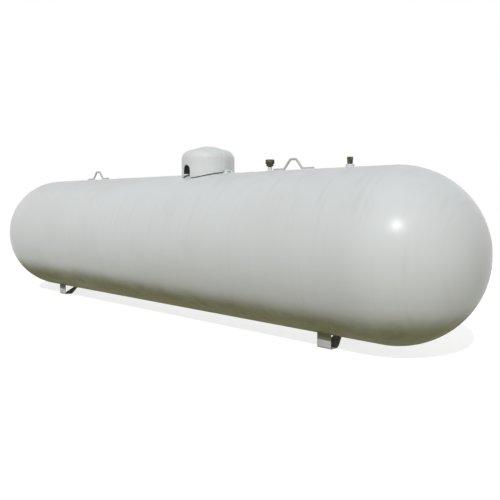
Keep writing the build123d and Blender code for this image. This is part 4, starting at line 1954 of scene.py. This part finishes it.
@dataclass
class ServiceValve(CrownFitting):
    """The service valve with its handwheel and a plug in its outlet."""

    across: float = 0.036
    hex_rise: float = 0.016
    body: float = 0.016
    body_rise: float = 0.044
    shoulder: float = 0.003
    bonnet: float = 0.024
    bonnet_rise: float = 0.012
    stem: float = 0.0045
    stem_sides: int = 32
    outlet: float = 0.015
    outlet_reach: float = 0.044
    outlet_waist: float = 0.86
    thread_from: float = 0.62
    thread_share: float = 0.36
    rim: float = 0.0045
    rim_sides: int = 16
    lobes: int = 9
    lobe: float = 0.0014
    lobe_spans: int = 10
    hub: float = 0.010
    hub_sides: int = 48
    spoke: float = 0.008
    spokes: int = 3
    grips: int = 20
    grip: float = 0.0009

    def build(self) -> None:
        """Make the coupling, the valve, its handwheel and its plug."""
        seat = self.couple()
        box = NodeBox.of("service_outlet_plug")
        self.add_valve(seat, *self.body_meshes(), self.outlet_mesh(box.z - seat.high.z))
        wheel = NodeBox.of("service_handwheel")
        self.shop.piece("lobed_handwheel", shift(self.wheel_mesh(wheel), seat.x, seat.y, wheel.z),
                        Finish.RED_PLASTIC, stands_for=["service_handwheel"])
        plug = turn(ScrewCap(box.length / 2, box.depth, self.grips, self.grip).mesh(), QUARTER_TURN, ALONG)
        self.shop.piece("ribbed_outlet_plug", shift(plug, seat.x, box.high.y, box.z),
                        Finish.DARK_PLASTIC, stands_for=["service_outlet_plug"])

    def body_meshes(self) -> list[BMesh]:
        """Turn the valve's upright parts.

        Returns:
            The hexagon, the body, the bonnet and the stem.
        """
        low = self.hex_rise
        high = low + self.body_rise
        waist = self.body - self.shoulder
        body = lathe([(0.0, low / 2), (waist, low / 2), (waist, low + self.shoulder),
                      (self.body, low + 2 * self.shoulder), (self.body, high - self.shoulder), (waist, high),
                      (0.0, high)])
        bonnet = shift(Nut(self.bonnet, self.bonnet_rise).mesh(), 0.0, 0.0, high)
        end = NodeBox.of("service_valve").rise
        stem = lathe([(0.0, high), (self.stem, high), (self.stem, end), (0.0, end)], self.stem_sides)
        return [Nut(self.across, low).mesh(), body, bonnet, stem]

    def outlet_mesh(self, height: float) -> BMesh:
        """Turn the threaded outlet, which points to the front.

        Args:
            height: Its middle's height over the coupling.

        Returns:
            The outlet.
        """
        end = self.outlet_reach
        side = threads(self.outlet, end * self.thread_from, end * self.thread_share)
        waist = self.outlet * self.outlet_waist
        outlet = lathe([(0.0, 0.0), (waist, 0.0), (waist, side[0][1]), *side, (waist, end), (0.0, end)])
        return shift(turn(outlet, QUARTER_TURN, ALONG), 0.0, 0.0, height)

    def wheel_mesh(self, wheel: NodeBox) -> BMesh:
        """Make the handwheel about the origin.

        Args:
            wheel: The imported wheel's box.

        Returns:
            The wheel.
        """
        reach = wheel.radius - self.rim
        rim = draw_in(hoop(reach, self.rim, self.rim_sides, self.lobes * self.lobe_spans), 0.0,
                      lambda angle: 1.0 - self.lobe * swell(self.lobes, angle) / reach)
        half = wheel.rise / 2
        inset = half - self.lobe
        collar = self.hub - self.lobe
        hub = lathe([(0.0, -half), (collar, -half), (self.hub, -inset), (self.hub, inset), (collar, half),
                     (self.stem, half), (self.stem, inset), (0.0, inset)], self.hub_sides)
        arm = ((reach, self.spoke, self.rim), (reach / 2, 0.0, 0.0), self.lobe)
        arms = [turn(block(*arm), FULL_TURN * count / self.spokes, UP) for count in range(self.spokes)]
        return join(rim, hub, *arms)


@dataclass
class Stage:
    """A plain pale floor, the lamps and the camera at the photograph's place."""

    camera_place: Place = (3.7476, -3.0842, 0.8693)
    camera_yaw: float = 0.7738
    camera_pitch: float = -0.0771
    focal_pixels: float = 603.66
    image_pixels: float = 500.0
    sensor: float = 36.0
    floor_half: float = 60.0
    floor_squares: int = 8
    key_from: Place = (0.3867, -0.6422, 0.6590)
    key_power: float = 2.3
    key_angle: float = 1.2
    soft_from: float = 9.0
    soft_size: float = 6.0
    soft_power: float = 45.0
    back_place: Place = (1.0, 7.0, 2.6)
    back_power: float = 210.0
    ambient: float = 0.10
    ambient_tint: Colour = (0.90, 0.97, 1.0)
    floor_bounce: Colour = (0.52, 0.505, 0.42)
    floor_white: Colour = (0.42, 0.42, 0.42)
    floor_lift: float = 0.80

    def build(self) -> None:
        """Set up the floor, the light and the camera."""
        scene = bpy.context.scene
        scene.view_settings.view_transform = "Standard"
        self.add_floor()
        self.add_world(scene)
        self.add_lamps()
        self.add_camera(scene)

    def add_floor(self) -> None:
        """Lay the floor, white to the eye where nothing shades it and greyer for the light it throws back."""
        mesh = bmesh.new()
        bmesh.ops.create_grid(mesh, x_segments=self.floor_squares, y_segments=self.floor_squares,
                              size=self.floor_half)
        data = bpy.data.meshes.new("pale_floor")
        mesh.to_mesh(data)
        mesh.free()
        data.materials.append(self.floor_material())
        floor = bpy.data.objects.new("pale_floor", data)
        bpy.context.scene.collection.objects.link(floor)

    def floor_material(self) -> bpy.types.Material:
        """Wire the floor's two faces, the one that is seen and the one that lights the object.

        Returns:
            The material.
        """
        material, graph = new_graph("pale_floor")
        white = graph.add("BsdfDiffuse", {"Color": opaque(self.floor_white)}).outputs["BSDF"]
        lift = graph.add("Emission", {"Color": opaque(WHITE), "Strength": self.floor_lift})
        seen = graph.add("AddShader", {0: white, 1: lift.outputs["Emission"]}).outputs["Shader"]
        bounce = graph.add("BsdfDiffuse", {"Color": opaque(self.floor_bounce)}).outputs["BSDF"]
        mixed = graph.add("MixShader", {0: graph.seen_background(), 1: bounce, 2: seen})
        graph.add("OutputMaterial", {"Surface": mixed.outputs["Shader"]})
        return material

    def add_world(self, scene: bpy.types.Scene) -> None:
        """Fill in from all round, with a white background.

        Args:
            scene: The scene that the world belongs to.
        """
        world = bpy.data.worlds.new("studio")
        scene.world = world
        world.use_nodes = True
        graph = Graph(world.node_tree)
        fill, white = (graph.add("Background", {"Color": opaque(tint), "Strength": power})
                       for tint, power in ((self.ambient_tint, self.ambient), (WHITE, 1.0)))
        mixed = graph.add("MixShader", {0: graph.seen_background(), 1: fill.outputs["Background"],
                                        2: white.outputs["Background"]})
        graph.add("OutputWorld", {"Surface": mixed.outputs["Shader"]})

    def add_lamps(self) -> None:
        """Hang a small key lamp, a wide soft lamp round it and one behind the object."""
        key_place = Vector(self.key_from) * self.soft_from
        key = bpy.data.lights.new("key", "SUN")
        key.energy = self.key_power
        key.angle = math.radians(self.key_angle)
        self.aim(bpy.data.objects.new("key", key), key_place)
        for name, place, power in (("soft", key_place, self.soft_power),
                                   ("back", Vector(self.back_place), self.back_power)):
            lamp = bpy.data.lights.new(name, "AREA")
            lamp.shape = "DISK"
            lamp.size = self.soft_size
            lamp.energy = power
            hung = bpy.data.objects.new(name, lamp)
            hung.visible_glossy = False
            self.aim(hung, place)

    def aim(self, item: bpy.types.Object, place: Vector) -> None:
        """Put a lamp in place and point it at the floor under the tank's middle.

        Args:
            item: The lamp's object.
            place: Where it hangs.
        """
        item.location = place
        item.rotation_euler = (-place).to_track_quat("-Z", "Y").to_euler()
        bpy.context.scene.collection.objects.link(item)

    def add_camera(self, scene: bpy.types.Scene) -> None:
        """Stand the camera where the photograph was taken.

        Args:
            scene: The scene that looks through it.
        """
        lens = bpy.data.cameras.new("camera")
        lens.sensor_width = self.sensor
        lens.lens = self.focal_pixels / self.image_pixels * self.sensor
        camera = bpy.data.objects.new("camera", lens)
        level = math.cos(self.camera_pitch)
        ahead = Vector((-math.sin(self.camera_yaw) * level, math.cos(self.camera_yaw) * level,
                        math.sin(self.camera_pitch)))
        camera.location = self.camera_place
        camera.rotation_euler = ahead.to_track_quat("-Z", "Y").to_euler()
        scene.collection.objects.link(camera)
        scene.camera = camera


def make_finishes() -> dict[Finish, bpy.types.Material]:
    """Mix every finish once.

    Returns:
        The material of each finish.
    """
    mixes = {
        Finish.TANK_PAINT: GlossPaint("tank_enamel", (0.725, 0.75, 0.755), (0.69, 0.71, 0.705)),
        Finish.HOOD_PAINT: GlossPaint("hood_enamel", (0.76, 0.78, 0.785), (0.72, 0.74, 0.735),
                                      gloss=0.36, dull=0.44),
        # The loops' enamel is a darker copy of the tank's; its grey is painted shade on the thin bar.
        Finish.LOOP_SHADED_PAINT: GlossPaint("loop_enamel_painted_shade", (0.54, 0.55, 0.53), (0.46, 0.47, 0.45),
                                      gloss=0.36, dull=0.48),
        # The legs' enamel is a darker copy of the tank's; its extra grey is painted shade.
        Finish.LEG_SHADED_PAINT: GlossPaint("leg_enamel_painted_shade", (0.56, 0.565, 0.55), (0.48, 0.485, 0.47),
                                     gloss=0.34, dull=0.46),
        Finish.PIN_STEEL: AgedMetal("pin_steel", (0.52, 0.52, 0.51), (0.30, 0.29, 0.28), (0.30, 0.19, 0.12)),
        Finish.AGED_BRASS: AgedMetal("aged_brass", (0.48, 0.37, 0.18), (0.27, 0.20, 0.10),
                                     (0.22, 0.22, 0.14)),
        # A dark olive copy of the aged brass for the outdoor fittings: weathering and also painted shade with
        # painted reflection of dark ground.
        Finish.WEATHERED_SHADED_BRASS: AgedMetal("weathered_shaded_brass", (0.15, 0.135, 0.08), (0.058, 0.056, 0.036),
                                       (0.08, 0.092, 0.062)),
        Finish.GAUGE_ALLOY: AgedMetal("gauge_alloy", (0.62, 0.62, 0.61), (0.42, 0.42, 0.41),
                                      (0.50, 0.50, 0.48)),
        Finish.DARK_PLASTIC: MouldedPlastic("dark_plastic", (0.035, 0.036, 0.038), (0.075, 0.075, 0.075)),
        Finish.RED_PLASTIC: MouldedPlastic("red_plastic", (0.42, 0.045, 0.035), (0.50, 0.10, 0.075)),
        Finish.DIAL_PLASTIC: MouldedPlastic("dial_face", (0.80, 0.80, 0.77), (0.72, 0.71, 0.66)),
        Finish.CLEAR_LENS: ClearLens("clear_lens"),
    }
    return {finish: mix.make() for finish, mix in mixes.items()}


def main() -> None:
    """Build the sub-assemblies in order."""
    logging.basicConfig(level=logging.INFO, format="%(message)s")
    shop = Workshop(make_finishes())
    tank = TankShape.from_frame()
    welder = Welder(tank)
    TankBody(shop).build()
    Legs(shop, tank, welder).build()
    LiftingLoops(shop, tank, welder).build()
    Hood(shop, tank).build()
    HoodMounts(shop, tank, welder).build()
    ServiceValve(shop, tank, welder, "service").build()
    CappedValve(shop, tank, welder, "fill").build()
    GaugeHead(shop, tank, welder, "gauge").build()
    ReliefValve(shop, tank, welder, "relief").build()
    CappedValve(shop, tank, welder, "vapour", across=0.040, hex_rise=0.015, neck=0.016, flutes=10).build()
    LiquidValve(shop, tank, welder, "liquid", Finish.WEATHERED_SHADED_BRASS).build()
    DrainPlug(shop, tank, welder, "drain", Finish.WEATHERED_SHADED_BRASS).build()
    Stage().build()


if __name__ == "__main__":
    main()
